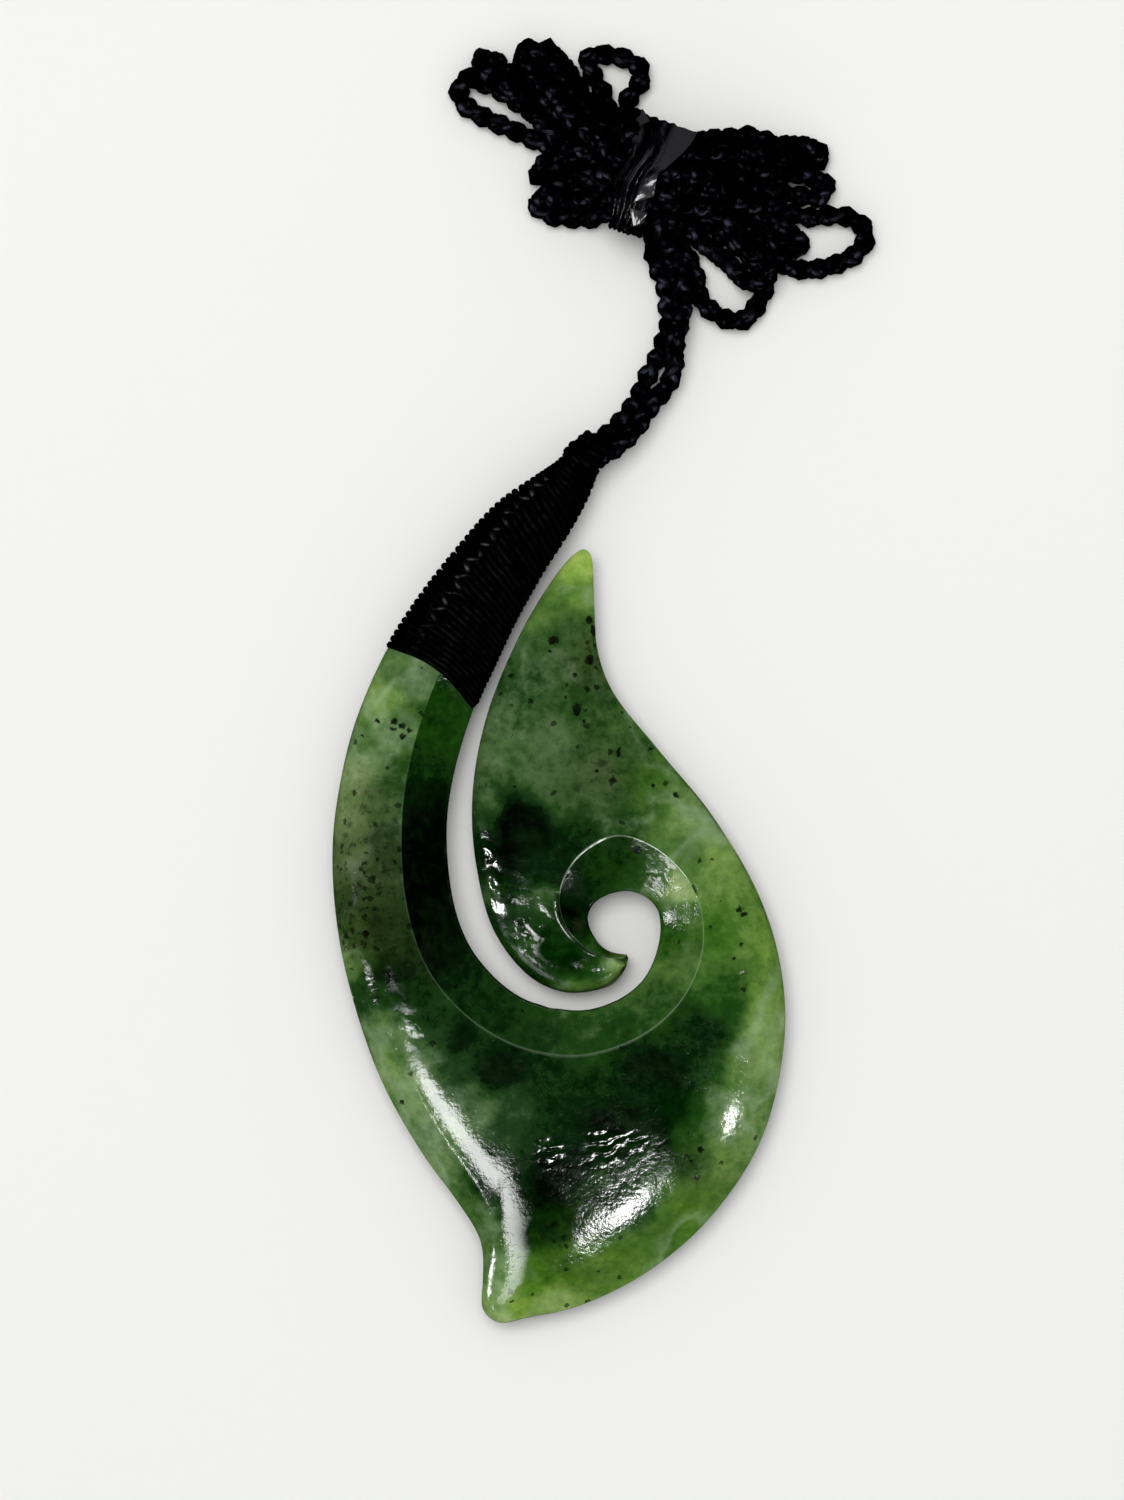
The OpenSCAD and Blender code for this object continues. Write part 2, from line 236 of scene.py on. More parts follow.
def catmull_rom(q0, q1, q2, q3, f):
    """Centripetal Catmull-Rom curve through four points: the place at the share f from q1 to q2."""
    knot = lambda a, b: np.sqrt(np.maximum(np.linalg.norm(b - a, axis=-1, keepdims=True), 0.001))
    t1 = knot(q0, q1)
    t2 = t1 + knot(q1, q2)
    t3 = t2 + knot(q2, q3)
    t = t1 + (t2 - t1) * f
    a1 = ((t1 - t) * q0 + t * q1) / t1
    a2 = ((t2 - t) * q1 + (t - t1) * q2) / (t2 - t1)
    a3 = ((t3 - t) * q2 + (t - t2) * q3) / (t3 - t2)
    b1 = ((t2 - t) * a1 + t * a2) / t2
    b2 = ((t3 - t) * a2 + (t - t1) * a3) / (t3 - t1)
    return ((t2 - t) * b1 + (t - t1) * b2) / (t2 - t1)


def even_path(points, step):
    """A smooth curve through points, as points a step apart."""
    points = np.asarray(points, dtype=float)
    points = points[np.concatenate([[True], np.linalg.norm(np.diff(points, axis=0), axis=1) > 1e-3])]
    p = np.concatenate([[2 * points[0] - points[1]], points, [2 * points[-1] - points[-2]]])
    n = len(p) - 3
    f = np.linspace(0, 1, 40, endpoint=False)[None, :, None]
    fine = catmull_rom(*(p[k:k + n, None, :] for k in range(4)), f).reshape(-1, 3)
    fine = np.concatenate([fine, points[-1:]])
    run = run_along(fine)
    s = np.linspace(0, run[-1], int(round(run[-1] / step)) + 1)
    return np.column_stack([np.interp(s, run, fine[:, k]) for k in range(3)])


def smoothed(points, reach):
    """Points along a curve, each the mean of the curve around it, weighted by exp(-(distance / reach)^2)."""
    run = run_along(points)
    weight = np.exp(-((run[:, None] - run[None, :]) / reach) ** 2) * (np.gradient(run) + 1e-4)[None, :]
    return weight @ points / weight.sum(axis=1, keepdims=True)


def frames(path):
    """Two sides across a path, carried along it without twist."""
    t = unit(np.gradient(path, axis=0))
    side = np.empty_like(path)
    side[0] = unit(np.cross(t[0], [0, 0, 1.0]))
    for i in range(1, len(path)):
        v = side[i - 1] - t[i] * (side[i - 1] @ t[i])
        side[i] = v / np.linalg.norm(v)
    return side, np.cross(t, side)


# Angles round a tube
ROUND = 2 * math.pi * np.arange(8) / 8


def tube(path, radius):
    """Points and triangles of a closed tube along a path."""
    side, up = frames(path)
    return capped(path[:, None] + radius * (side[:, None] * np.cos(ROUND)[None, :, None]
                                            + up[:, None] * np.sin(ROUND)[None, :, None]))


# The strip of the hook

def edge_at(p, column):
    """The curve through one edge's points of HOOK, at the places p."""
    points = HOOK[:, column:column + 2] * [HOOK_W, HOOK_H]
    i = np.floor(p).astype(int)
    four = (points[np.clip(i + k, 0, len(points) - 1)] for k in (-1, 0, 1, 2))
    return catmull_rom(*four, (p - i)[:, None])


def share_at(p, column):
    """One of the shares in HOOK, at the places p."""
    return np.interp(p, np.arange(len(HOOK)), HOOK[:, column])


def evenly(first, last, count):
    """Places between two rows of HOOK, spread evenly by the length of the longer edge."""
    fine = np.linspace(first, last, 4000)
    step = np.maximum(np.linalg.norm(np.diff(edge_at(fine, IN), axis=0), axis=1),
                      np.linalg.norm(np.diff(edge_at(fine, OUT), axis=0), axis=1))
    run = np.concatenate([[0], np.cumsum(step)])
    return np.interp(np.linspace(0, run[-1], count), run, fine)


def levels(high, inset=0.0):
    """Foot, middle and top of the stone where its height is the share high of STONE_T."""
    t = high * STONE_T - 2 * inset
    foot = (1 - high) * STONE_T * BACK_RISE + inset
    return foot, foot + MID * t, foot + t


def profile(width, ridge, high, inset, fine):
    """Profile of the strip: foot of the inner wall, bevel to the ridge, face to the outer edge, back.

    Widths run from the inner edge. The bevel is 0.12 of a sine and 0.88 of a straight slope. The face
    falls with the square of the share of its width, times an ellipse over FACE_ROUND at the outer edge.
    The back is an ellipse over BACK_ROUND and then flat, and rises to the wall over the heel. On narrow
    parts these widths are at most 0.6, 0.4 and 0.25 of what is there. The points next to the ridge are
    drawn in to 0.3 of their step, which keeps it crisp. Returns two arrays, sections by points.
    """
    w = (width - 2 * inset)[:, None]
    foot, mid, top = (level[:, None] for level in levels(high, inset))
    t = (high * STONE_T - 2 * inset)[:, None]
    b = np.minimum(ridge[:, None], 0.6 * w)
    over = np.minimum(FACE_ROUND, 0.6 * (w - b))
    under = np.minimum(BACK_ROUND, 0.4 * w)
    heel = np.minimum(HEEL, 0.25 * w)
    wall = foot + WALL_TOP * t
    s = np.linspace(0, 1, BEVEL_COLS * fine + 1)[None, :-1]
    s[:, -1] = 1 - 0.3 / (BEVEL_COLS * fine)
    bevel = (b * s, wall + (top - wall) * (0.12 * np.sin(math.pi / 2 * s) + 0.88 * s))
    v = np.sin(math.pi / 2 * np.linspace(0, 1, FACE_COLS * fine + 1))[None, :]
    v[:, 1] *= 0.3
    u = b + (w - b) * v
    e = np.clip((w - u) / over, 0, 1)
    face = (u, mid + (top - mid) * (1 - w / (w + HALF_FALL) * v * v) * np.sqrt(e * (2 - e)))
    e = 1 - np.cos(math.pi / 2 * np.linspace(0, 1, BACK_COLS * fine + 1)[None, 1:])
    back = (w - under * e, mid - (mid - foot) * np.sqrt(e * (2 - e)))
    s = np.linspace(0, 1, 2 * fine + 1)[None, 1:]
    flat = (w - under + (heel - w + under) * s, foot + 0 * s * w)
    a = math.pi / 2 * np.linspace(0, 1, fine + 2)[None, 1:]
    toe = (heel * (1 - np.sin(a)), foot + WALL_FOOT * t * (1 - np.cos(a)))
    s = np.linspace(0, 1, fine + 1)[None, 1:-1]
    inner = (0 * s * w, foot + WALL_FOOT * t + (wall - foot - WALL_FOOT * t) * s)
    parts = (bevel, face, back, flat, toe, inner)
    across = np.concatenate([np.broadcast_to(q[0], (len(w), q[0].shape[1])) for q in parts], axis=1)
    return across + inset[:, None], np.concatenate([q[1] for q in parts], axis=1)


def sections(p, inset, fine):
    """Rings of the strip at places p, drawn in by the inset: points from the inner to the outer edge and
    round the back."""
    a, b = edge_at(p, IN), edge_at(p, OUT)
    width = np.linalg.norm(b - a, axis=1)
    u, z = profile(width, share_at(p, RIDGE) * BEVEL_W, share_at(p, HIGH), np.full(len(p), inset), fine)
    d = (b - a) / width[:, None]
    return np.stack([a[:, :1] + d[:, :1] * u, a[:, 1:] + d[:, 1:] * u, z], axis=-1)


# The origin is the middle of the hook and its binding
outline = sections(evenly(0, LASH_START, 400), 0.0, 1)
CENTRE = np.array([(outline[..., 0].min() + outline[..., 0].max()) / 2,
                   outline[..., 1].min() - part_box("jade_hook")[0][1] / MM, 0.0])
# Where the cord leaves the binding, and which way it goes
end_in, end_out = (edge_at(np.array([LASH_END]), column)[0] for column in (IN, OUT))
EXIT = np.append((end_in + end_out) / 2, 0) - CENTRE
EXIT_DIR = np.array([end_out[1] - end_in[1], end_in[0] - end_out[0], 0]) / np.linalg.norm(end_in - end_out)

# Camera: straight down on the pendant, as in the photograph, of which it sees PHOTO_H pixels in height
PHOTO_H = 1500
PX_PER_MM = 10.5
PHOTO_MID = np.array([0.3, 12.8])
CAMERA_Z = 600.0
FOCUS_Z = 2.5


def make_camera():
    cam = bpy.data.cameras.new("camera")
    cam.sensor_fit = "VERTICAL"
    cam.angle = 2 * math.atan(PHOTO_H / PX_PER_MM / 2 / (CAMERA_Z - FOCUS_Z))
    cam.clip_start = 0.01
    cam.clip_end = 5
    obj = bpy.data.objects.new("camera", cam)
    obj.location = (PHOTO_MID[0] * MM, PHOTO_MID[1] * MM, CAMERA_Z * MM)
    bpy.context.scene.collection.objects.link(obj)
    bpy.context.scene.camera = obj


make_camera()

# The neck strands' routes from the exit, as in the CAD parts
ROUTE_LEFT = np.array([
    [-0.4, 0.4, 1.95], [0.2, 1.15, 1.9], [1.25, 1.8, 1.7], [2.3, 2.4, 1.5], [3.3, 3.3, 1.25],
    [4.25, 4.5, 1.05], [5.15, 5.7, 1], [5.7, 6.95, 1], [6.2, 8.15, 1], [6.95, 9.45, 1],
    [7.55, 10.85, 1], [8.05, 12.45, 1], [8.45, 14.05, 1], [8.75, 15.35, 1],
])
ROUTE_RIGHT = np.array([
    [0.4, -0.4, 3.75], [1.55, 0.2, 3.5], [2.75, 0.9, 3.2], [4, 1.9, 2.95], [5.15, 3.15, 2.75],
    [6.05, 4.6, 2.5], [7, 5.85, 2.2], [7.95, 6.95, 1.9], [8.5, 8.15, 1.9], [8.7, 9.45, 2.4],
    [8.75, 10.85, 2.75], [8.95, 12.35, 2.95], [9.1, 13.85, 3.05], [9.15, 14.7, 3.1],
])
# The hank's waist, from the exit, and how far the hank is turned
WAIST = np.array([5.25, 26.85, 0])
HANK_TURN = math.radians(-19)
# How far to the side the cord's middle is at the waist
WAIST_SIDE = -0.33

# The neck cord: from the binding along its left strand, nine laps through the waist of the hank, and
# back along its right strand. A lap's points are charted on the photograph's hank, in steps of CHART
# millimetres from the hank's top left corner, x to the right and y down, with the height in mm.
CHART = 0.0279
CHART_AT = np.array([-11.4, 82.3])
# Slots across the waist, in the order that the cord goes through them: place across it and height
SLOTS = [
    (-4, 2.3), (-2.1, 1.65), (-0.2, 1.65), (1.6, 1.65), (3.4, 2.3), (1.7, 3.6), (3.45, 4.4), (1.7, 5.5),
    (-0.2, 3.6), (-0.2, 5.5), (-2.1, 3.6), (-4.05, 4.3), (-2.1, 5.5), (-1.1, 7.4), (0.9, 7.4), (3.3, 6.4),
    (2.4, 7.5), (-3.6, 6.3),
]
LEFT_LAPS = [
    [(570, 655, 1), (440, 658, 1), (362, 650, 1), (322, 620, 1), (368, 585, 1), (460, 580, 1),
     (580, 590, 1.2)],
    [(500, 480, 1), (350, 415, 1), (240, 365, 1), (130, 315, 1), (72, 268, 1), (75, 210, 1.2),
     (135, 188, 1.3), (240, 220, 1.4), (345, 275, 1.4), (470, 400, 1.4)],
    [(580, 400, 1.2), (545, 290, 1), (515, 200, 1), (505, 120, 1), (565, 112, 1), (640, 128, 1.2),
     (693, 175, 1.6), (668, 235, 1.8), (632, 290, 1.8), (640, 380, 2)],
    [(560, 390, 3), (505, 270, 2.6), (450, 185, 2.2), (395, 120, 1.4), (355, 95, 1.2), (335, 130, 1.6),
     (390, 220, 2.4), (450, 320, 3), (540, 420, 3.4)],
    [(480, 400, 3), (370, 310, 3), (280, 230, 2.6), (215, 175, 2), (185, 125, 1.8), (138, 128, 2),
     (145, 175, 2.8), (215, 225, 3.2), (310, 285, 3.2), (450, 420, 3.2)],
    [(560, 560, 3), (470, 545, 2.8), (385, 550, 2.4), (340, 520, 1.6), (375, 480, 2.2), (460, 470, 3),
     (560, 500, 3.4)],
    [(570, 600, 4.6), (480, 610, 3.4), (400, 620, 2.8), (375, 580, 2.8), (430, 540, 4), (560, 540, 5)],
    [(520, 380, 5), (420, 280, 4), (330, 190, 3), (290, 120, 1.6), (300, 88, 1.2), (330, 110, 1.6),
     (380, 190, 3), (450, 250, 4.4), (560, 380, 5)],
    [(620, 410, 6), (650, 350, 4.6), (680, 325, 3.6), (692, 350, 3.6), (672, 400, 5), (600, 520, 6.6),
     (560, 600, 6.2)],
]
RIGHT_LAPS = [
    [(760, 640, 1), (820, 760, 1), (862, 860, 1), (890, 945, 1), (955, 1005, 1), (1035, 1025, 1),
     (1085, 975, 1), (1105, 905, 1.2), (1090, 830, 1.4), (980, 720, 1.2), (840, 610, 1.2)],
    [(860, 590, 1), (1020, 640, 1), (1160, 670, 1), (1260, 665, 1), (1350, 660, 1), (1430, 680, 1),
     (1462, 735, 1), (1420, 800, 1), (1340, 835, 1), (1230, 850, 1), (1150, 800, 1.2), (1040, 700, 1.4),
     (860, 560, 1.2)],
    [(840, 470, 1.2), (960, 430, 1), (1080, 420, 1), (1180, 440, 1), (1260, 428, 1), (1308, 460, 1),
     (1270, 500, 1.4), (1160, 500, 1.6), (980, 480, 1.8), (850, 480, 2.4)],
    [(860, 500, 3), (1000, 500, 3), (1130, 500, 2.8), (1240, 505, 2.6), (1305, 530, 1.2), (1318, 578, 1),
     (1270, 610, 1.4), (1170, 600, 2.6), (1000, 570, 3), (860, 540, 3.2)],
    [(860, 560, 3), (1010, 620, 3), (1130, 670, 3), (1215, 720, 2.4), (1240, 765, 1.6), (1205, 790, 1.6),
     (1120, 760, 2.6), (1000, 690, 3), (850, 600, 3)],
    [(830, 640, 3), (920, 740, 2.8), (1020, 840, 2.4), (1085, 900, 2.6), (1130, 880, 2.8), (1130, 810, 3),
     (1040, 740, 3.2), (850, 610, 3.6)],
    [(860, 520, 5), (980, 540, 4.8), (1090, 560, 4.6), (1160, 590, 4.4), (1160, 640, 4.4), (1080, 650, 4.6),
     (980, 610, 4.8), (850, 530, 5.4)],
    [(850, 440, 5), (950, 420, 3.6), (1050, 400, 3), (1150, 430, 3), (1210, 460, 3), (1180, 490, 3.4),
     (1060, 470, 4.2), (950, 460, 5), (840, 460, 6)],
]
INTO_HANK = [(800, 905, 1), (735, 848, 1), (666, 780, 1), (636, 716, 1.2)]
OUT_OF_HANK = [(735, 690, 4.6), (785, 770, 3.6), (820, 850, 3), (825, 905, 3)]


def charted(points):
    """Points of the hank's chart in the part's frame, in mm."""
    q = np.array(points, dtype=float)
    return np.column_stack([CHART_AT[0] + q[:, 0] * CHART, CHART_AT[1] - q[:, 1] * CHART, q[:, 2]])


def on_waist(along, across, z):
    """Places in the waist's frame, turned into the part's."""
    c, s = math.cos(HANK_TURN), math.sin(HANK_TURN)
    x, y = (EXIT + WAIST)[:2]
    return np.stack(np.broadcast_arrays(x + along * c - across * s, y + along * s + across * c, z), axis=-1)


def from_waist(points):
    """How far points lie along and across the waist."""
    c, s = math.cos(HANK_TURN), math.sin(HANK_TURN)
    rel = points[:, :2] - (EXIT + WAIST)[:2]
    return rel[:, 0] * c + rel[:, 1] * s, -rel[:, 0] * s + rel[:, 1] * c


def charted_cord():
    """The cord's route through its laps, before it is settled. It goes through the waist by turns to the
    left and to the right, each time over three points of its slot."""
    points = [(EXIT + ROUTE_LEFT)[:-1], charted(INTO_HANK)]
    laps = [lap for pair in zip(LEFT_LAPS, RIGHT_LAPS + [None]) for lap in pair if lap]
    heading = -1
    for (across, z), lap in zip(SLOTS, laps + [OUT_OF_HANK]):
        points += [on_waist(0.7 - heading * np.array([1.8, 0, -1.8]), across, z), charted(lap)]
        heading = -heading
    return np.concatenate(points + [(EXIT + ROUTE_RIGHT)[::-1][1:]])


# Settling the cord, in mm: how near its stretches may come, how far apart along the cord they have to be
# to push one another, how many points are held at its ends, and its middle line's room at the waist,
# which is a superellipse: from and to along it, half width, middle height, half height and power
NEAREST = 1.94
APART = 3.2
HELD = 17
ROOM_FROM, ROOM_TO = -1.7, 3.1
ROOM_N, ROOM_MID, ROOM_Z, ROOM_POWER = 3.85, 4.62, 2.95, 3.2


def settled(points, step):
    """The cord laid on itself: points a step apart are moved by turns, a fixed number of rounds.

    Each round smooths, lets the cord sink, holds it near its chart, keeps the steps equal, pushes
    apart stretches nearer than NEAREST, and keeps it above the surface and inside the waist.
    """
    x = even_path(points, step)
    chart = x.copy()
    index = np.arange(len(x))
    held = (index < HELD) | (index >= len(x) - HELD)
    far = np.abs(index[:, None] - index[None, :]) > APART / step
    rounds = 260
    for k in range(rounds):
        x[1:-1] += 0.04 * ((x[:-2] + x[2:]) / 2 - x[1:-1]) * ~held[1:-1, None]
        x[:, 2] -= 0.02
        x[:, :2] += (0.06 - 0.03 * (k / rounds)) * (chart - x)[:, :2]
        for first in (0, 1, 0, 1):
            a, b = x[first:-1:2], x[first + 1::2]
            d = b - a
            gap = np.linalg.norm(d, axis=1, keepdims=True)
            move = 0.5 * (gap - step) / np.maximum(gap, 1e-6) * d
            a += move
            b -= move
        d = x[:, None, :] - x[None, :, :]
        gap = np.sqrt((d ** 2).sum(axis=-1))
        i, j = np.nonzero(far & (gap < NEAREST))
        lack, gap = (NEAREST - gap[i, j])[:, None], np.maximum(gap[i, j], 0.05)[:, None]
        np.add.at(x, i, 0.3 * lack * d[i, j] / gap)
        x[:, 2] = np.maximum(x[:, 2], CORD_D / 2)
        along, across = from_waist(x)
        inside = (along > ROOM_FROM) & (along < ROOM_TO) & (np.abs(across) < 9) & ~held
        vn, vz = (across - WAIST_SIDE) / ROOM_N, (x[:, 2] - ROOM_MID) / ROOM_Z
        over = (np.abs(vn) ** ROOM_POWER + np.abs(vz) ** ROOM_POWER) ** (1 / ROOM_POWER)
        over = np.where(inside, np.maximum(over, 1), 1)
        x[:, 2] = np.where(inside, ROOM_MID + ROOM_Z * vz / over, x[:, 2])
        shift = np.where(inside, WAIST_SIDE + ROOM_N * vn / over - across, 0)
        x[:, 0] -= shift * math.sin(HANK_TURN)
        x[:, 1] += shift * math.cos(HANK_TURN)
        x[held] = chart[held]
    return x


# The braid in mm: length of a turn, radius of a strand, and how far out its middle is and swings
BRAID_PITCH = 3.5
STRAND_R = 0.54
STRAND_AT = 0.42
STRAND_SWING = 0.14


def braid(path):
    """Round braid of four strands: two turn one way and two the other, each once in BRAID_PITCH.

    Angle = hand * 2 pi s / pitch + {0, pi}; distance from the middle = STRAND_AT + hand * STRAND_SWING
    * cos(4 pi s / pitch), so that at each crossing one hand passes outside the other. The grain is a
    place round a strand and along it, for its filaments.
    """
    s = run_along(path)
    side, up = frames(path)
    rng = np.random.default_rng(4)
    parts, grains = [], []
    for hand, phase in ((1, 0), (1, math.pi), (-1, 0), (-1, math.pi)):
        a = hand * 2 * math.pi * s / BRAID_PITCH + phase
        r = STRAND_AT + hand * STRAND_SWING * np.cos(4 * math.pi * s / BRAID_PITCH)
        out = side * np.cos(a)[:, None] + up * np.sin(a)[:, None]
        parts.append(tube(path + out * r[:, None], STRAND_R))
        b = np.tile(ROUND, len(path))
        grain = np.column_stack([np.cos(b), np.sin(b), 0.12 * np.repeat(s, len(ROUND)) + rng.uniform(0, 90)])
        grains += [grain, grain[:2]]
    return joined(parts), np.concatenate(grains)


cord_path = even_path(settled(charted_cord(), 1.0), 0.36)
(cord_v, cord_f), cord_grain = braid(cord_path)
cord_v[:, 2] = np.maximum(cord_v[:, 2], 0)
neck_cord = mesh_object("neck_cord", cord_v, cord_f)
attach(neck_cord, "root")
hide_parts("cord_left", "cord_right", "cord_hank")
attribute(neck_cord, "grain", cord_grain)


# Materials

def rgba(hex_code):
    """sRGB hex code to linear RGBA: c / 12.92 below 0.04045, else ((c + 0.055) / 1.055) ** 2.4."""
    c = [int(hex_code[k:k + 2], 16) / 255 for k in (1, 3, 5)]
    return tuple(v / 12.92 if v <= 0.04045 else ((v + 0.055) / 1.055) ** 2.4 for v in c) + (1.0,)


class Shader:
    """A material on the principled shader, and one way to add nodes to it."""

    def __init__(self, name, **values):
        self.material = bpy.data.materials.new(name)
        self.material.use_nodes = True
        self.tree = self.material.node_tree
        self.bsdf = self.tree.nodes["Principled BSDF"]
        self.set(self.bsdf, {key.replace("_", " "): value for key, value in values.items()})

    def set(self, node, inputs):
        """Gives inputs their values, in order or by name or number: an output of a node, which is linked,
        a hex code or a number."""
        for key, value in inputs.items() if isinstance(inputs, dict) else enumerate(inputs):
            if isinstance(value, bpy.types.NodeSocket):
                self.tree.links.new(value, node.inputs[key])
            else:
                node.inputs[key].default_value = rgba(value) if isinstance(value, str) else value

    def add(self, kind, inputs, out=0, stops=(), **options):
        """Adds a node with its settings and links, and returns one of its outputs. Stops are those of a
        ramp, each a place and a grey or a hex code."""
        node = self.tree.nodes.new("ShaderNode" + kind)
        for key, value in options.items():
            setattr(node, key, value)
        for k, (place, value) in enumerate(stops):
            element = node.color_ramp.elements[k] if k < 2 else node.color_ramp.elements.new(place)
            element.position = place
            element.color = rgba(value) if isinstance(value, str) else (value, value, value, 1)
        self.set(node, inputs)
        return node.outputs[out]


# The stone

# How much its clouds and mottles add to its tone, and its shades to its warmth. Bend is how far the
# outlines of its specks stray, in mm.
CLOUD, MOTTLE, SHADE, BEND = 0.3, 0.36, 0.5, 0.7
# How pale the ridge is, from row to row of HOOK: partly wear, partly a painted highlight along the crisp
# ridge
RIDGE_ROWS = ([10, 22, 26, 33, 37, 45], [1, 0.8, 0.4, 0.4, 0.15, 0.1])
# Zones of the stone's colour, as seen in the photograph: x and y in mm, tone from 0, black, to 1, pale,
# and warmth from 0, grey green, to 1, yellow green. One chart for the face and one for the bevel. Most
# zones are the stone's own colour, but some pale ones, many of them grey, are painted highlights and
# haze of the polish: beside the long streak at the lower left, at the koru's left and right of the eye.
FACE_ZONES = np.array([
    (2.5, 31, 0.86, 1), (1.6, 27.6, 0.62, 0.8), (-2.2, 25, 0.56, 0.6), (-0.2, 23.2, 0.36, 0.5),
    (2.6, 22.4, 0.38, 0.4), (0.6, 21, 0.44, 0.3), (-3, 18.8, 0.33, 0.3), (2, 17.5, 0.34, 0.5),
    (-1, 14.5, 0.5, 0.08), (-6, 12, 0.48, 0.2), (6.2, 15.5, 0.4, 0.5), (-5.8, 9.4, 0.44, 0.3),
    (-2, 10.5, 0.46, 0.08), (3.5, 9.5, 0.44, 0.15), (9, 9.2, 0.45, 0.8), (13.4, 6.4, 0.66, 0.35),
    (13.4, -1.5, 0.56, 0.7), (17.5, 0, 0.6, 0.75), (18.3, -4.4, 0.62, 0.8), (14.8, -4.4, 0.46, 0.9),
    (12, 2.5, 0.5, 0.6), (-6.8, 8, 0.42, 0.3), (-4.6, 6.2, -0.05, 0.2), (-1.2, 6, 0.05, 0.3),
    (1.6, 5.4, 0.16, 0.6), (-5.5, 2.5, 0.04, 0.2), (-1, 1.5, 0.14, 0.5), (-3.8, -2.5, 0.15, 0.2),
    (-2, -6, 0.36, 0.95), (0, -4.6, 0.2, 0.7), (2, -9.2, 0.6, 0.6), (-14.3, 20.5, 0.5, 0.3),
    (-16.6, 17.9, 0.66, 0.6), (-15.2, 15, 0.5, 0.4), (-18.9, 10.5, 0.7, 0.2), (-15, 10, 0.34, 0.7),
    (-13.3, 15.8, 0.36, 0.6), (-20.2, 6.3, 0.64, 0.3), (-17, 7.4, 0.42, 0.35), (-16.9, 5, 0.3, 0.3),
    (-20.2, 2.8, 0.54, 0.3), (-16.9, 2.4, 0.3, 0.2), (-17, 0, 0.33, 0.3), (-15.8, -4.2, 0.18, 0.5),
    (-20.3, -7.2, 0.58, 0.4), (-19.5, -5.8, 0.28, 0.6), (-18, -10, 0.32, 0.5), (-16.6, -14.5, 0.54, 0.5),
    (-13.8, -11.5, 0.18, 0.5), (-9.5, -16.4, 0.3, 0.15), (-9.6, -14.4, 0.12, 0.4),
    (12.5, -23.8, 0.36, 0.5), (-5.2, -17.8, 0.12, 0.4), (-0.9, -19.2, 0.17, 0.6), (3.4, -20.4, 0.15, 0.7),
    (9.1, -18.1, 0.08, 0.6), (4, -23, 0.08, 0.7), (10.5, -22.5, 0.08, 0.6), (13.6, -14, 0.16, 0.6),
    (16.2, -11, 0.36, 0.7), (20, -12.9, 0.72, 0.4), (19.6, -17, 0.66, 0.45), (18, -22, 0.6, 0.5),
    (15.8, -25.6, 0.62, 0.6), (11.9, -31.1, 0.54, 0.85), (-0.9, -27.5, 0.03, 0.5),
    (-1.4, -32.5, 0.12, 0.9), (-2.6, -36.4, 0.48, 1), (3.4, -36.4, 0.56, 0.85), (8, -35.4, 0.56, 0.8),
    (4.6, -30, 0.2, 0.5), (-3.8, -39.6, 0.72, 1), (-6.2, -40, 0.62, 0.35), (-15.2, -20.1, 0.52, 0.6),
    (-12, -25.4, 0.46, 0.5), (-8.6, -30.5, 0.44, 0.5), (-7.2, -35.4, 0.46, 0.45), (-9.8, -20.2, 0.5, 0.05),
    (-6.4, -27, 0.12, 0.4), (-1.2, -6, 0.08, 0.5), (1.6, -6.6, 0.06, 0.6), (2.9, -8.3, 0.24, 0.95),
    (5.8, -8, 0.68, 0.6), (2, 8.2, 0.42, 0.2), (4, 5.8, 0.36, 0.4), (-17.1, -9.4, 0.05, 0.4),
    (-15.2, -15.4, 0.48, 0.4), (-14.6, -19.8, 0.78, 0.2), (-11.8, -25.6, 0.7, 0.1),
    (-5.6, -41.3, 0.84, 0.4), (0, -40.4, 0.76, 0.6), (19.6, -11, 0.62, 0.75), (-18, 13.7, 0.5, 0.55),
    (0, -36.8, 0.42, 1.2), (-3.8, 14.7, 0.4, 0.4), (-11.6, -16.6, 0.46, 0.1), (-7, -22.9, 0.52, 0),
    (-4, -23, 0.3, 0.1), (14, 2.6, 0.66, 0.6), (13.2, -0.7, 0.68, 0.5), (3.8, -9.5, 0.7, 0.5),
    (-1.6, -1.2, 0.42, 0.2), (-3.4, -2.2, 0.4, 0.1), (-6.4, -0.9, 0.44, 0.1), (-16.9, -16.3, 0.62, 0.5),
    (-4.8, -0.9, 0.12, 0.2),
])
BEVEL_ZONES = np.array([
    (-10.9, 20.5, 0.24, 0.85), (-11.5, 15.1, 0.24, 1), (-12.3, 11.1, 0.2, 0.9), (-12.6, 7.6, 0.06, 0.5),
    (-12.9, 4.2, 0, 0), (-12.9, 0.5, -0.02, 0), (-12.3, -2.9, 0.02, 0), (-10.3, -6.8, 0.1, 0),
    (-9.4, -9.5, 0.16, 0.2), (-6.6, -12.4, 0.2, 0.3), (-2.3, -14.1, 0.28, 0.25), (3.4, -14.4, 0.33, 0.35),
    (9.1, -12.1, 0.37, 0.5), (12.6, -7.6, 0.5, 0.5), (12.4, -2.8, 0.46, 0.8), (12.1, -0.5, 0.85, 0.3),
    (10.6, -3.8, 0.34, 1), (8.6, 2, 0.36, 0.6), (4.6, 2.9, 0.24, 0.85), (1.4, 0.3, 0.12, 0.7),
    (1.6, -3.4, 0.05, 0.5), (3.6, -6.4, 0.3, 0.9), (6.2, -7.5, 0.64, 0.7), (-1.6, 24, 0.55, 0.9),
    (-5.4, 16, 0.42, 0.6), (-7.4, 8, 0.4, 0.5), (-6.8, 0, 0.12, 0.3), (-3.8, -5.8, 0.2, 0.6),
    (1, -9.4, 0.4, 0.8), (0.8, 26, 0.7, 0.9),
])
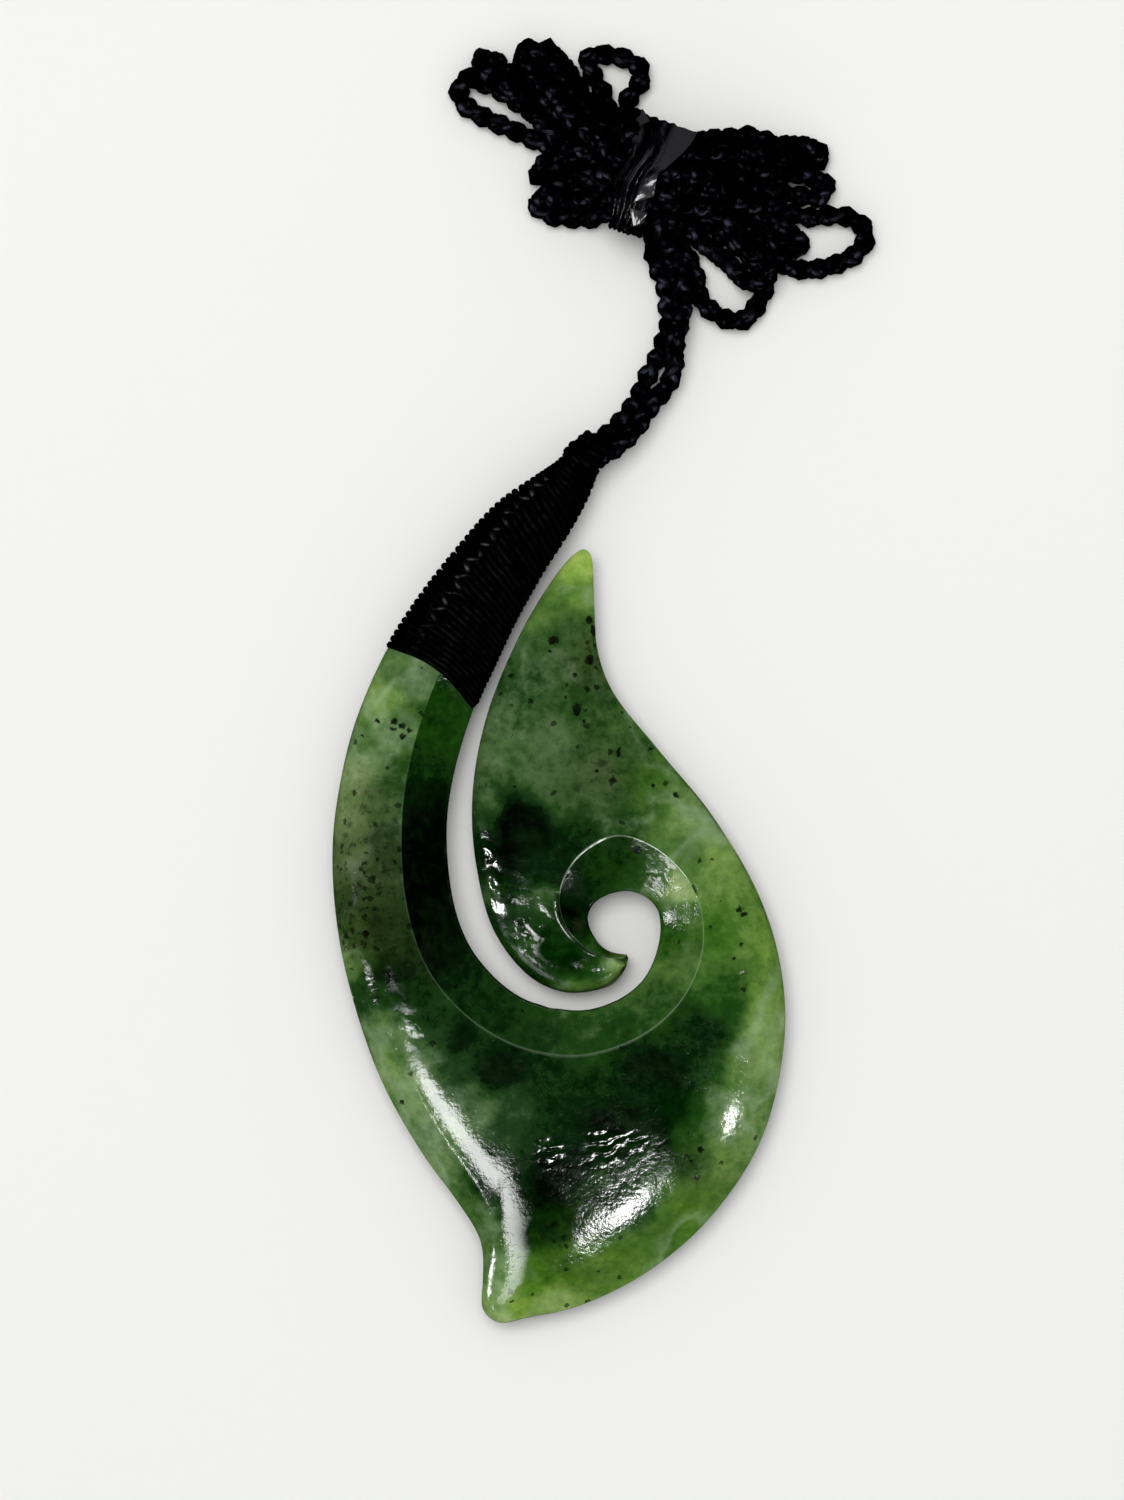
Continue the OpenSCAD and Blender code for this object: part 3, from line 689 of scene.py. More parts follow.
# Black specks: x and y in mm, radius, and how long they are drawn out along y
SPECKS = [
    (2.95, 25.15, 0.42, 1.1), (3.3, 24.15, 0.36, 1.9), (2.9, 21.35, 0.55, 1), (-0.5, 23.2, 0.59, 0.8),
    (-0.85, 22.2, 0.21, 1), (1.5, 19.9, 0.29, 0.9), (0.55, 17.8, 0.17, 1), (1.7, 16.6, 0.52, 1.2),
    (2.3, 15.5, 0.26, 1), (5.7, 12.6, 0.21, 3), (8.75, 12.9, 0.26, 0.8), (5.1, 9.9, 0.44, 1),
    (8.9, 9.4, 0.21, 1), (11.1, 8.6, 0.34, 0.9), (3.6, 10.8, 0.26, 1), (-4.2, 9.3, 0.21, 1),
    (7.4, 3.4, 0.39, 1), (17.1, -2.35, 0.39, 1), (17.55, -2.75, 0.34, 1), (17.25, -5.6, 0.26, 1.3),
    (16.6, -6.9, 0.17, 1), (-15.6, 15.5, 0.4, 0.8), (-14.9, 15.1, 0.38, 0.8), (-14.1, 14.65, 0.34, 0.8),
    (-15.7, 14.8, 0.4, 0.7), (-14.75, 14.1, 0.4, 0.8), (-17.2, 15.55, 0.31, 0.8), (-18.7, 14.1, 0.16, 1),
    (-13.5, 13.1, 0.18, 1.2), (13.4, -25, 0.31, 1.2), (12.5, -26.2, 0.21, 1), (-20.2, -4.9, 0.26, 1),
    (-14.9, -20.7, 0.23, 1), (-4.5, -39.6, 0.18, 1), (-12.1, -7, 0.29, 1), (-9.8, -9.6, 0.23, 1),
]


def charted_tone(x, y, zones):
    """Tone and warmth at each place: the zones' mean, weighted by 1 / (distance^2 + 1.2)^2."""
    total = np.zeros_like(x)
    tone, warm = np.zeros_like(x), np.zeros_like(x)
    for zx, zy, zone_tone, zone_warm in zones:
        weight = 1 / ((x - zx) ** 2 + (y - zy) ** 2 + 1.2) ** 2
        total += weight
        tone += weight * zone_tone
        warm += weight * zone_warm
    return tone / total, warm / total


def stone_rings(count, fine):
    """Rings of the stone, and their places in HOOK. The ridge is smoothed over 1.4 mm, and the face is
    rounded by the true distance from the outer edge, e = distance / over. Along the facets, as wide as
    bound, the round is 0.8 of a chord and 0.2 of a root. The plain rim slopes by RIM_SLOPE. The face is
    smoothed over 1.6 mm along the strip. Under the thread the rings are cut back."""
    p = np.concatenate([evenly(0, LASH_START - 1, count), evenly(LASH_START - 1, STONE_END, count // 5)[1:]])
    full = sections(p, 0.0, fine)
    ridge_col, edge_col = BEVEL_COLS * fine, (BEVEL_COLS + FACE_COLS) * fine
    inner, ridge, outer = full[:, :1, :2], full[:, ridge_col, :2], full[:, edge_col:edge_col + 1, :2]
    along = np.linalg.norm(full[:, :, :2] - inner, axis=2)
    new_ridge = smoothed(ridge, 1.4)[:, None]
    s = along[:, :ridge_col] / along[:, ridge_col:ridge_col + 1]
    v = (along[:, ridge_col:edge_col + 1] - along[:, ridge_col:ridge_col + 1])
    v = v / v[:, -1:]
    full[:, :ridge_col, :2] = inner + (new_ridge - inner) * s[..., None]
    full[:, ridge_col:edge_col + 1, :2] = new_ridge + (outer - new_ridge) * v[..., None]
    face = full[:, ridge_col:edge_col + 1]
    edge_p = np.linspace(0, LASH_END, 1400)
    edge = edge_at(edge_p, OUT)
    away = np.empty(face.shape[:2])
    for i in range(len(p)):
        own = edge[np.abs(edge_p - p[i]) < 5.5]
        away[i] = np.sqrt(((face[i, :, None, :2] - own[None]) ** 2).sum(axis=2).min(axis=1))
    away[:, -1] = 0
    width = along[:, edge_col]
    mid, top = (level[:, None] for level in levels(share_at(p, HIGH))[1:])
    over = np.minimum(FACE_ROUND * np.interp(p, *TIGHTER_ROWS), 0.6 * (width - along[:, ridge_col]))[:, None]
    e = np.clip(away / over, 0, 1)
    fall = (width / (width + HALF_FALL))[:, None]
    height = lambda e: (top - mid) * (1 - fall * v * v) * np.sqrt(e * (2 - e))
    bound = np.interp(p, [26, 31], [FACET, 0.78 * FACET])[:, None] / over
    chord = height(np.minimum(bound, 1)) * (0.8 * e / bound + 0.2 * np.sqrt(np.clip(e / bound, 0, 1)))
    faceted = np.interp(p, *FACET_ROWS)[:, None] * (e < bound)
    face[..., 2] = mid + height(e) * (1 - faceted) + chord * faceted
    rim = np.interp(p, *RIM_ROWS)[:, None] * (away < RIM_W)
    slope = mid + height(np.minimum(RIM_W / over, 1)) - RIM_SLOPE * (RIM_W - away)
    face[..., 2] += rim * (slope - face[..., 2])
    for k in range(1, face.shape[1] - 1):
        face[:, k] = smoothed(face[:, k], 1.6)
    cut = sections(p, THREAD_D - THREAD_PROUD + LASH_GAP, fine)
    bulge = np.sin(math.pi * np.clip(along / along.max(axis=1, keepdims=True), 0, 1))
    bulge[:, edge_col + 1:] = 0
    share = np.clip((p[:, None] - LASH_START - 0.05 - LASH_BULGE / ROW * bulge) / 0.1, 0, 1)
    return p, full * (1 - share[..., None]) + cut * share[..., None]


# Freckled places: x, y, radius and density
FRECKLES = [
    (-18.5, 1, 5, 1), (-18, -5, 3, 0.8), (3, 21, 3.5, 0.7), (3.8, 11, 4, 0.6), (-17.5, 8.5, 3, 0.5),
    (-13, -6, 3, 0.4), (13, -27, 3, 0.5), (1, -33.5, 4, 0.5), (-8.5, 10, 2, 0.4),
]
# Places where the polish is rippled: x, y, reach, height of the ripples, their length and their compass
RIPPLES = [
    (-0.9, -25.2, 1.3, 0.055, 1.2, 275), (4.2, -24.6, 1.5, 0.05, 1.2, 288),
    (7.2, -24.4, 0.9, 0.04, 1, 300), (-6.9, 3, 1.4, 0.09, 2.3, 245), (-6.2, -0.4, 2, 0.1, 2.7, 240),
    (-2.9, -4, 2.2, 0.12, 3.3, 232), (9.3, 1, 2, 0.03, 2, 230), (18.4, -9, 1.5, 0.04, 1.1, 330),
    (-14, -13.6, 1.8, 0.03, 1.9, 250),
]
# How far their crests stray, in mm
STRAY = 1.8
# Places where the polish is worn dull: x, y, reach and strength
DULL = [
    (-17, -6.4, 2.6, 1), (10.5, -20.5, 3.2, 1), (-12, 17.8, 3.6, 1), (0.4, -6.9, 1.9, 1),
    (2.9, -8, 1.2, 0.9), (-18.6, -2, 4.4, 1), (12, -24.2, 2.4, 0.95), (14.4, -26.8, 1.8, 1),
    (11.6, -2.6, 1.9, 1), (-5.2, -39.5, 3, 0.7), (-1.4, -32, 2.6, 0.9), (0.2, -31, 2, 0.9),
    (-2.2, -28.4, 1.6, 0.9), (-1.3, -6, 1.3, 1), (1.7, -6, 1, 0.8), (16.4, -18.4, 1.6, 1),
    (0.4, -34.4, 1.7, 1), (-2.1, -35.9, 1.2, 1), (9.5, -27.2, 2.1, 0.85), (-15.3, -10.8, 1.8, 1),
    (13.3, -21.2, 1.6, 1), (-13.2, -15.6, 1.4, 0.8), (-2.2, -33.6, 1.3, 0.9), (15.2, -25.4, 1.3, 1),
    (-2.3, -37.2, 1.2, 1),
]


def spread(x, y, places):
    """Sum over places of size * exp(-(distance / reach)^2)."""
    return sum(size * np.exp(-((x - px) ** 2 + (y - py) ** 2) / reach ** 2)
               for px, py, reach, size in places)


def make_stone():
    """The strip with a hand polish: soft waves of 6.5, 3 and 1.3 mm over its upper side."""
    count, fine = ((800, 4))
    p, rings = stone_rings(count, fine)
    rings = rings - CENTRE
    x, y = rings[..., 0], rings[..., 1]
    waves = 0.04 * noise(x, y, 6.5, 11) + 0.03 * noise(x, y, 3.1, 12) + 0.012 * noise(x, y, 1.3, 13)
    rings[..., 2] += np.clip(rings[..., 2] / 1.5, 0, 1) * waves
    warped_x = x + 0.9 * noise(x, y, 3.3, 21) + 0.35 * noise(x, y, 1.1, 22)
    warped_y = y + 0.9 * noise(x, y, 3.3, 23) + 0.35 * noise(x, y, 1.1, 24)
    column = np.arange(rings.shape[1])
    first_face, last_flat = BEVEL_COLS * fine, (BEVEL_COLS + FACE_COLS + UNDER_COLS) * fine
    on_bevel = ((column < first_face) | (column > last_flat)) * 1.0
    tone, warm = (on_face * (1 - on_bevel) + bevel * on_bevel
                  for on_face, bevel in zip(charted_tone(warped_x, warped_y, FACE_ZONES),
                                            charted_tone(warped_x, warped_y, BEVEL_ZONES)))
    looks = {
        # Tone: the stone's own colour, and in some zones painted highlights and haze
        "tone": tone - (CLOUD + MOTTLE) / 2,
        "warm": warm - SHADE / 2,
        # The ridge line, made paler in the material: partly wear, partly a painted highlight
        "ridge": (column == first_face) * np.interp(p, *RIDGE_ROWS)[:, None],
        "freckled": spread(x, y, FRECKLES),
        "dull": np.clip(spread(x, y, DULL), 0, 1),
    }
    obj = mesh_object("stone", *capped(rings))
    for name, values in looks.items():
        attribute(obj, name, np.append(values.ravel(), [0, 0]))
    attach(obj, "root")
    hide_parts("jade_hook")
    return obj


stone = make_stone()


# The thread

# The line of half hitches up the binding's face, as x and y in mm
HITCHES = np.array([
    (-13.4, 23.1), (-12.2, 24.8), (-10.8, 27), (-9.6, 28.4), (-9, 29.7), (-7.8, 31.3), (-6.3, 32.9),
    (-5.1, 34.6), (-3.9, 36.2), (-2.5, 37.3), (-0.9, 38.9),
])
# The hitches' pitch and the steps of their line, in mm
HITCH_PITCH = 1.9
HITCH_STEP = 0.12
# Radii of the thread in the winding, the hitches, their spurs and the knot, in mm
WOUND_R, HITCH_R, SPUR_R, KNOT_R = 0.37, 0.34, 0.3, 0.42


def winding(p):
    """A helix of thread over the strip's sections, its first turns drawn up over the face by LASH_BULGE
    * sin(pi * share across) * exp(-distance / 5 mm), and its turns not quite even. Returns the rings that
    it goes round, and its path."""
    turns, steps = 40, 56
    ring = sections(p, THREAD_D / 2 - THREAD_PROUD, 4) - CENTRE
    closed = np.concatenate([ring, ring[:, :1]], axis=1)
    share = np.linspace(0, 1, steps, endpoint=False)
    even = np.empty((len(p), steps, 3))
    for i, points in enumerate(closed):
        run = run_along(points)
        even[i] = np.column_stack([np.interp(share * run[-1], run, points[:, k]) for k in range(3)])
    inner, outer = edge_at(p, IN) - CENTRE[:2], edge_at(p, OUT) - CENTRE[:2]
    middle = (inner + outer) / 2
    onward = unit(np.gradient(middle, axis=0))
    width = np.linalg.norm(outer - inner, axis=1)
    across = ((even[..., :2] - inner[:, None]) * unit(outer - inner)[:, None]).sum(axis=2) / width[:, None]
    rise = np.clip((even[..., 2] - 2.4) / 0.6, 0, 1) * np.sin(math.pi * np.clip(across, 0, 1))
    lift = LASH_BULGE * rise * np.exp(-run_along(middle) / 5)[:, None]
    even[..., :2] += lift[..., None] * onward[:, None]
    rng = np.random.default_rng(8)
    q = np.arange(turns * steps)
    knots = np.arange(turns * steps // 20 + 2)
    wander = np.interp(q / 20, knots, rng.uniform(-1, 1, len(knots)))
    along = np.clip(q / (turns * steps) * (len(p) - 1) + 0.45 * wander, 0, len(p) - 1.001)
    k, i = q % steps, along.astype(int)
    f = (along - i)[:, None]
    return even, even[i, k] * (1 - f) + even[i + 1, k] * f


def hitches(upper):
    """A wavy line of half hitches over the upper points of the binding, each with a spur to the side."""
    line = even_path(np.column_stack([HITCHES, 0 * HITCHES[:, 0]]), HITCH_STEP)
    ahead = unit(np.gradient(line, axis=0))
    side = np.column_stack([ahead[:, 1], -ahead[:, 0], 0 * ahead[:, 0]])
    s = np.arange(len(line)) * HITCH_STEP
    nearest = ((line[:, None, :2] - upper[None, :, :2]) ** 2).sum(axis=2).argmin(axis=1)
    level = np.convolve(np.pad(upper[nearest, 2], 8, mode="edge"), np.ones(17) / 17, mode="valid")
    line = line + side * (0.42 * np.sin(2 * math.pi * s / HITCH_PITCH))[:, None]
    line[:, 2] = level + 0.3 + 0.16 * np.cos(4 * math.pi * s / HITCH_PITCH)
    parts = [tube(line, HITCH_R)]
    f = np.linspace(0, 1, 9)
    for j in (np.arange(0.5, s[-1], HITCH_PITCH) / HITCH_STEP).astype(int):
        spur = line[j] + side[j] * np.linspace(0, 1.7, 9)[:, None] - ahead[j] * (0.5 * f ** 2)[:, None]
        spur[:, 2] = line[j, 2] - 0.02 - 0.45 * f ** 1.5
        parts.append(tube(spur, SPUR_R))
    return parts


def neck_knot():
    """The thread's last five turns, round the two strands of the neck cord."""
    turns = 5
    f = np.linspace(0, 1, turns * 40)
    a = 2 * math.pi * turns * f
    onward = -0.5 + 2.6 * f + 0.28 * np.sin(a + 6 * f)
    wide, tall = 1.62 - 0.25 * f + 0.12 * np.sin(9 * f), 2.2 - 0.25 * f
    across = np.array([-EXIT_DIR[1], EXIT_DIR[0], 0])
    knot = (EXIT + [0, 0, 2.85] + EXIT_DIR * onward[:, None] + across * (wide * np.cos(a))[:, None]
            + np.array([0, 0, 1.0]) * (tall * np.sin(a))[:, None])
    knot[:, 2] = np.maximum(knot[:, 2], 0.45)
    return tube(knot, KNOT_R)


def make_thread():
    """The binding: the winding and a core under it, the half hitches, which shine, and the knot round the
    neck strands. Returns the points, the triangles and the gloss of each point."""
    p = evenly(LASH_START + 0.04, LASH_END - 0.02, 200)
    even, path = winding(p)
    plain = [tube(path, WOUND_R), capped(sections(p, THREAD_D / 2 - THREAD_PROUD + 0.12, 4) - CENTRE)]
    shiny = hitches(even[even[..., 2] > 2.0])
    knot = [neck_knot()]
    gloss = [np.full(len(verts), value) for parts, value in ((plain, 0.0), (shiny, 1.0), (knot, 0.0))
             for verts, faces in parts]
    return *joined(plain + shiny + knot), np.concatenate(gloss)


thread_v, thread_f, thread_gloss = make_thread()
thread = mesh_object("thread", thread_v, thread_f)
attribute(thread, "gloss", thread_gloss)
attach(thread, "root")
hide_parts("lashing")


# The tie

# The film's left and right edges on top of the waist: place across the waist, then along it, in mm
FILM_EDGES = np.array([
    (-5.6, -1, 1.3), (-3.5, -1.5, 1.9), (-1.3, -1.9, 1.8), (0.2, -1.4, 1.7), (1.4, -1.2, 2.4),
    (3.1, -1.7, 3.3), (5.2, -2.5, 4.2),
])
# Creases across the film: share of its width, and height of the fold in mm
CREASES = np.array([
    (0, 0.1), (0.07, 0.5), (0.12, 0.05), (0.2, 0.42), (0.26, 0.1), (0.36, 0.5), (0.41, 0.05), (0.5, 0.4),
    (0.57, 0.12), (0.64, 0.45), (0.7, 0.06), (0.8, 0.22), (0.93, 0.12), (1, 0.3),
])
# Thickness of the film itself, in mm
FILM_GAUGE = 0.05
# Half the width of the waist that the film's creases are laid out on, in mm
TIE_HALF = 4.84
# Loose corners of the film: four points as x and y in chart steps and height in mm
FLAPS = [[(742, 548, 9.5), (730, 622, 8.95), (656, 644, 8.5), (699, 570, 9.15)],
         [(732, 534, 7.85), (742, 548, 9.5), (699, 570, 9.15), (688, 558, 7.85)],
         [(647, 656, 8.25), (708, 677, 8.39), (693, 711, 8.1), (659, 723, 7.87)],
         [(658, 335, 7.3), (694, 322, 7.5), (716, 365, 8.3), (664, 392, 8.8)]]


def waist_reach(angles, mid_z):
    """How far a band drawn tight round the cord at the waist lies from the waist's middle, at each angle.

    reach(a) = min over b of support(b) / cos(a - b), where support(b) = max over the cord's points of
    n cos b + z sin b. That is the cord's convex hull.
    """
    along, across = from_waist(cord_v)
    near = (along > -1.2) & (along < 2.2) & (np.abs(across - WAIST_SIDE) < 6)
    n, z = across[near] - WAIST_SIDE, cord_v[near, 2] - mid_z
    b = np.linspace(0, 2 * math.pi, 180, endpoint=False)
    support = (np.cos(b)[:, None] * n + np.sin(b)[:, None] * z).max(axis=1)
    facing = np.cos(angles[:, None] - b[None, :])
    return np.where(facing > 0.1, support / np.maximum(facing, 0.1), 99).min(axis=1)


def make_band():
    """The film round the waist, drawn tight round the cord: out = 0.05 + folds, with the folds drawn
    round it along the creases. Returns its points and triangles, its grain and where it is smooth."""
    around, wide = 300, 84
    a = 2 * math.pi * np.arange(around) / around
    v = np.linspace(0, 1, wide)[None, :]
    mid_z = (FILM_T + TIE_GAP + HANK_H) / 2
    half_n, half_z = TIE_HALF + TIE_GAP + 0.1, (HANK_H - FILM_T - TIE_GAP) / 2 + TIE_GAP + 0.1
    # Round a box with well rounded corners, so that the sheet's points lie densely at them
    n_share, z_share = (np.sign(q) * np.abs(q) ** 0.55 for q in (np.cos(a), np.sin(a)))
    angle = np.arctan2(half_z * z_share, half_n * n_share)
    upper = np.clip(z_share * 1.4 + 0.4, 0, 1)[:, None]
    n_top = WAIST_SIDE + half_n * n_share
    left = np.interp(n_top, FILM_EDGES[:, 0], FILM_EDGES[:, 1])[:, None] * upper - 1.2 * (1 - upper)
    right = np.interp(n_top, FILM_EDGES[:, 0], FILM_EDGES[:, 2])[:, None] * upper + 2.2 * (1 - upper)
    stray = 0.02 * np.sin(3 * a)[:, None] + 0.012 * np.sin(7 * a + 1)[:, None]
    fold = np.interp(np.clip(v + stray * np.sin(math.pi * v), 0, 1), CREASES[:, 0], CREASES[:, 1])
    pinch = 1 / np.clip((right - left) / 3.4, 0.7, 2.2)
    out = 0.05 + fold * pinch * (0.45 + 0.55 * upper) + 0.05 * np.sin(5 * a + 4.5)[:, None]
    reach = waist_reach(angle, mid_z)[:, None] + out
    z = np.maximum(mid_z + reach * np.sin(angle)[:, None], 0.04)
    top = on_waist(left + (right - left) * v, WAIST_SIDE + reach * np.cos(angle)[:, None], z)
    faces = triangles(grid_faces(around, wide, wrap_rows=True, wrap_cols=False))
    across = 3.4 * v + 0.2 * np.sin(4 * a)[:, None]
    grain = np.stack(np.broadcast_arrays(across, 0.6 * a[:, None], 0.0), axis=-1)
    stretched = np.clip((v - 0.6) / 0.06, 0, 1) * np.clip((n_top - 0.6) / 0.8, 0, 1)[:, None] * upper
    corner = np.clip((0.2 - v) / 0.05, 0, 1) * np.clip((n_top - 2.4) / 0.6, 0, 1)[:, None] * upper
    return (top.reshape(-1, 3), faces), grain.reshape(-1, 3), np.maximum(stretched, corner).ravel()


def make_flap(corners):
    """A loose corner of the film: a four-sided patch, bent a little. Returns what make_band returns."""
    f = np.linspace(0, 1, 12)
    p, q = (grid[..., None] for grid in np.meshgrid(f, f))
    k0, k1, k2, k3 = charted(corners)
    sheet = (k0 * (1 - p) + k1 * p) * (1 - q) + (k3 * (1 - p) + k2 * p) * q
    sheet[..., 2:] += 0.06 * np.sin(math.pi * p) * np.sin(math.pi * q) + 0.04 * np.sin(7 * p + 4 * q)
    grain = np.concatenate([p, 0.2 * q, 5 + 0 * q], axis=-1).reshape(-1, 3)
    faces = triangles(grid_faces(len(f), len(f), wrap_cols=False))
    return (sheet.reshape(-1, 3), faces), grain, np.ones(p.size)


tie_parts, tie_grains, tie_smooth = zip(make_band(), *(make_flap(corners) for corners in FLAPS))
tie = mesh_object("tie", *joined(tie_parts))
attribute(tie, "grain", np.concatenate(tie_grains))
attribute(tie, "smooth", np.concatenate(tie_smooth))
tie.modifiers.new("thickness", "SOLIDIFY").thickness = FILM_GAUGE * MM
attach(tie, "root")
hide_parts("hank_tie")


# Looks. Scales of noises and cells are in repeats a metre, so 200 is 5 mm and 1000 is 1 mm.

def ripples(s, at):
    """Height in metres of the ripples in the polish: the sum of size * exp(-(distance / reach)^2)
    * sin(2 pi (run + STRAY * noise) / length)."""
    warp = s.add("TexNoise", {"Vector": at, "Scale": 700, "Detail": 1})
    height = 0.0
    for x, y, reach, size, length, compass in RIPPLES:
        a = math.radians(compass)
        k = 2 * math.pi / length / MM
        off = s.add("VectorMath", (at, (x * MM, y * MM, 0)), operation="SUBTRACT")
        near = s.add("VectorMath", (off, (1 / reach / MM, 1 / reach / MM, 0)), operation="MULTIPLY")
        square = s.add("VectorMath", (near, near), "Value", operation="DOT_PRODUCT")
        fade = s.add("Math", (1 / math.e, square), operation="POWER")
        crest = (k * math.cos(a), k * math.sin(a), 0)
        run = s.add("VectorMath", (off, crest), "Value", operation="DOT_PRODUCT")
        run = s.add("Math", (warp, STRAY * MM * k, run), operation="MULTIPLY_ADD")
        wave = s.add("Math", (run,), operation="SINE")
        wave = s.add("Math", (wave, size * MM), operation="MULTIPLY")
        height = s.add("Math", (wave, fade, height), operation="MULTIPLY_ADD")
    return height


def specks(s, bent, freckled):
    """Share of black: the charted specks, each an ellipse; freckles in some of the 1.05 mm cells of the
    freckled places, with blotches of 0.4 mm; and lone dots in a few of the 2.4 mm cells elsewhere."""
    nearest = 9.0
    for x, y, radius, tall in SPECKS:
        middle = ((x + BEND / 2) * MM, (y + BEND / 2) * MM, 0)
        off = s.add("VectorMath", (bent, middle), operation="SUBTRACT")
        off = s.add("VectorMath", (off, (1 / radius / MM, 1 / radius / tall / MM, 0)), operation="MULTIPLY")
        away = s.add("VectorMath", (off,), "Value", operation="LENGTH")
        nearest = s.add("Math", (nearest, away), operation="MINIMUM")
    black = s.add("ValToRGB", {"Fac": nearest}, stops=[(0.0, 1.0), (0.75, 0.85), (1.0, 0.0)])
    for scale, share, limit, size in ((420.0, 0.45, 0.97, 0.14), (950.0, 0.5, 0.95, 0.27)):
        cells, away = (s.add("TexVoronoi", {"Vector": bent, "Scale": scale}, out)
                       for out in ("Color", "Distance"))
        pick = s.add("SeparateColor", (cells,))
        pick = s.add("Math", (freckled, share, pick), operation="MULTIPLY_ADD")
        pick = s.add("Math", (pick, limit), operation="GREATER_THAN")
        dot = s.add("Math", (away, size), operation="LESS_THAN")
        for factor in (pick, 0.75):
            dot = s.add("Math", (dot, factor), operation="MULTIPLY")
        black = s.add("Math", (black, dot), operation="MAXIMUM")
    blotch = s.add("TexNoise", {"Vector": bent, "Scale": 1300, "Detail": 3, "Roughness": 0.6})
    blotch = s.add("ValToRGB", {"Fac": blotch}, stops=[(0.56, 0.0), (0.64, 0.9)])
    blotch = s.add("Math", (blotch, freckled), operation="MULTIPLY")
    return s.add("Math", (black, blotch), operation="MAXIMUM")


def greenstone():
    """Nephrite: satin-polished green stone that light enters a little way. Its tone and warmth are
    charted, with clouds of 5 mm, mottles of 1 mm, and faint pale veins along the contours of a noise;
    its steep rim is darkened by painted shade, and its ridge is paler, partly wear and partly a painted
    highlight. Some of the charted zones are painted highlights and haze."""
    s = Shader("greenstone", IOR=1.6, Subsurface_Weight=0.35, Subsurface_Radius=(0.6, 1.0, 0.35),
               Subsurface_Scale=0.0015)
    at = s.add("TexCoord", {}, "Object")
    tone, warm, ridge, freckled, dull = (s.add("Attribute", {}, "Fac", attribute_name=name)
                                         for name in ("tone", "warm", "ridge", "freckled", "dull"))
    cloud, mottle, shade, fine = (
        s.add("TexNoise", {"Vector": at, "Scale": scale, "Detail": detail, "Roughness": rough})
        for scale, detail, rough in ((200, 5, 0.6), (1000, 4, 0.65), (320, 3, 0.55), (2600, 2, 0.55)))
    level = s.add("Math", (cloud, CLOUD, tone), operation="MULTIPLY_ADD")
    level = s.add("Math", (mottle, MOTTLE, level), operation="MULTIPLY_ADD")
    hue = s.add("Math", (shade, SHADE, warm), operation="MULTIPLY_ADD")
    places = (0, 0.15, 0.35, 0.55, 0.75, 1)
    grey, yellow = (s.add("ValToRGB", {"Fac": level}, stops=zip(places, tints))
                    for tints in (("#010401", "#051C06", "#20401C", "#577249", "#8AA174", "#C4D2AA"),
                                  ("#010A01", "#052603", "#1F4C0A", "#4E7A20", "#84A63E", "#BCD470")))
    colour = s.add("Mix", {0: hue, 6: grey, 7: yellow}, 2, data_type="RGBA")
    vein = s.add("TexNoise", {"Vector": at, "Scale": 90, "Detail": 3, "Roughness": 0.55, "Distortion": 0.4})
    vein = s.add("ValToRGB", {"Fac": vein}, stops=[(0.46, 0.0), (0.5, 0.3), (0.56, 0.0)])
    pale = s.add("ValToRGB", {"Fac": level}, stops=[(0.3, 0.0), (0.6, 1.0)])
    vein = s.add("Math", (vein, pale), operation="MULTIPLY")
    # The paler ridge: partly wear, partly a painted highlight along the crisp ridge
    ridge_wear_and_highlight = s.add("Math", (ridge, 0.45), operation="MULTIPLY")
    brown = s.add("Math", (freckled, level), operation="MULTIPLY")
    bend = s.add("TexNoise", {"Vector": at, "Scale": 2500}, "Color")
    bent = s.add("VectorMath", (bend, (BEND * MM, BEND * MM, 0), at), operation="MULTIPLY_ADD")
    # Painted shade: the steep rim, where the normal turns away from straight up, is darkened to a dark olive
    up = s.add("SeparateXYZ", (s.add("NewGeometry", {}, "Normal"),), 2)
    steep_rim_shade = s.add("ValToRGB", {"Fac": up}, stops=[(0.1, 0.8), (0.5, 0.0)])
    for share, tint in ((vein, "#A9BE9C"), (ridge_wear_and_highlight, "#9DB392"), (brown, "#45402A"),
                        (specks(s, bent, freckled), "#070B05"), (steep_rim_shade, "#151C06")):
        colour = s.add("Mix", {0: share, 6: colour, 7: tint}, 2, data_type="RGBA")
    waves = s.add("Bump", {"Height": ripples(s, at), "Distance": 1.0})
    polish = s.add("Math", (fine, 0.4, mottle), operation="MULTIPLY_ADD")
    s.set(s.bsdf, {
        "Base Color": colour,
        "Roughness": s.add("ValToRGB", {"Fac": mottle}, stops=[(0.3, 0.09), (0.7, 0.15)]),
        "Specular IOR Level": s.add("Math", (dull, -0.5, 0.5), operation="MULTIPLY_ADD"),
        "Normal": s.add("Bump", {"Height": polish, "Strength": 0.35, "Distance": 0.00011, "Normal": waves}),
    })
    return s.material


def braided_cord():
    """Black nylon braid: nearly no colour, and glints on some strands, broken by their filaments."""
    s = Shader("braided_cord", Roughness=0.36, IOR=1.53, Specular_Tint="#C4C4EA")
    grain = s.add("Attribute", {}, "Vector", attribute_name="grain")
    filaments = s.add("TexNoise", {"Vector": grain, "Scale": 3.2, "Detail": 3})
    lumps = s.add("TexNoise", {"Vector": s.add("TexCoord", {}, "Object"), "Scale": 900, "Detail": 2})
    s.set(s.bsdf, {
        "Base Color": s.add("ValToRGB", {"Fac": filaments}, stops=[(0.35, "#000000"), (0.75, "#020203")]),
        "Specular IOR Level": s.add("ValToRGB", {"Fac": lumps}, stops=[(0.47, 0.0), (0.64, 0.32)]),
        "Normal": s.add("Bump", {"Height": filaments, "Strength": 0.7, "Distance": 0.00012}),
    })
    return s.material


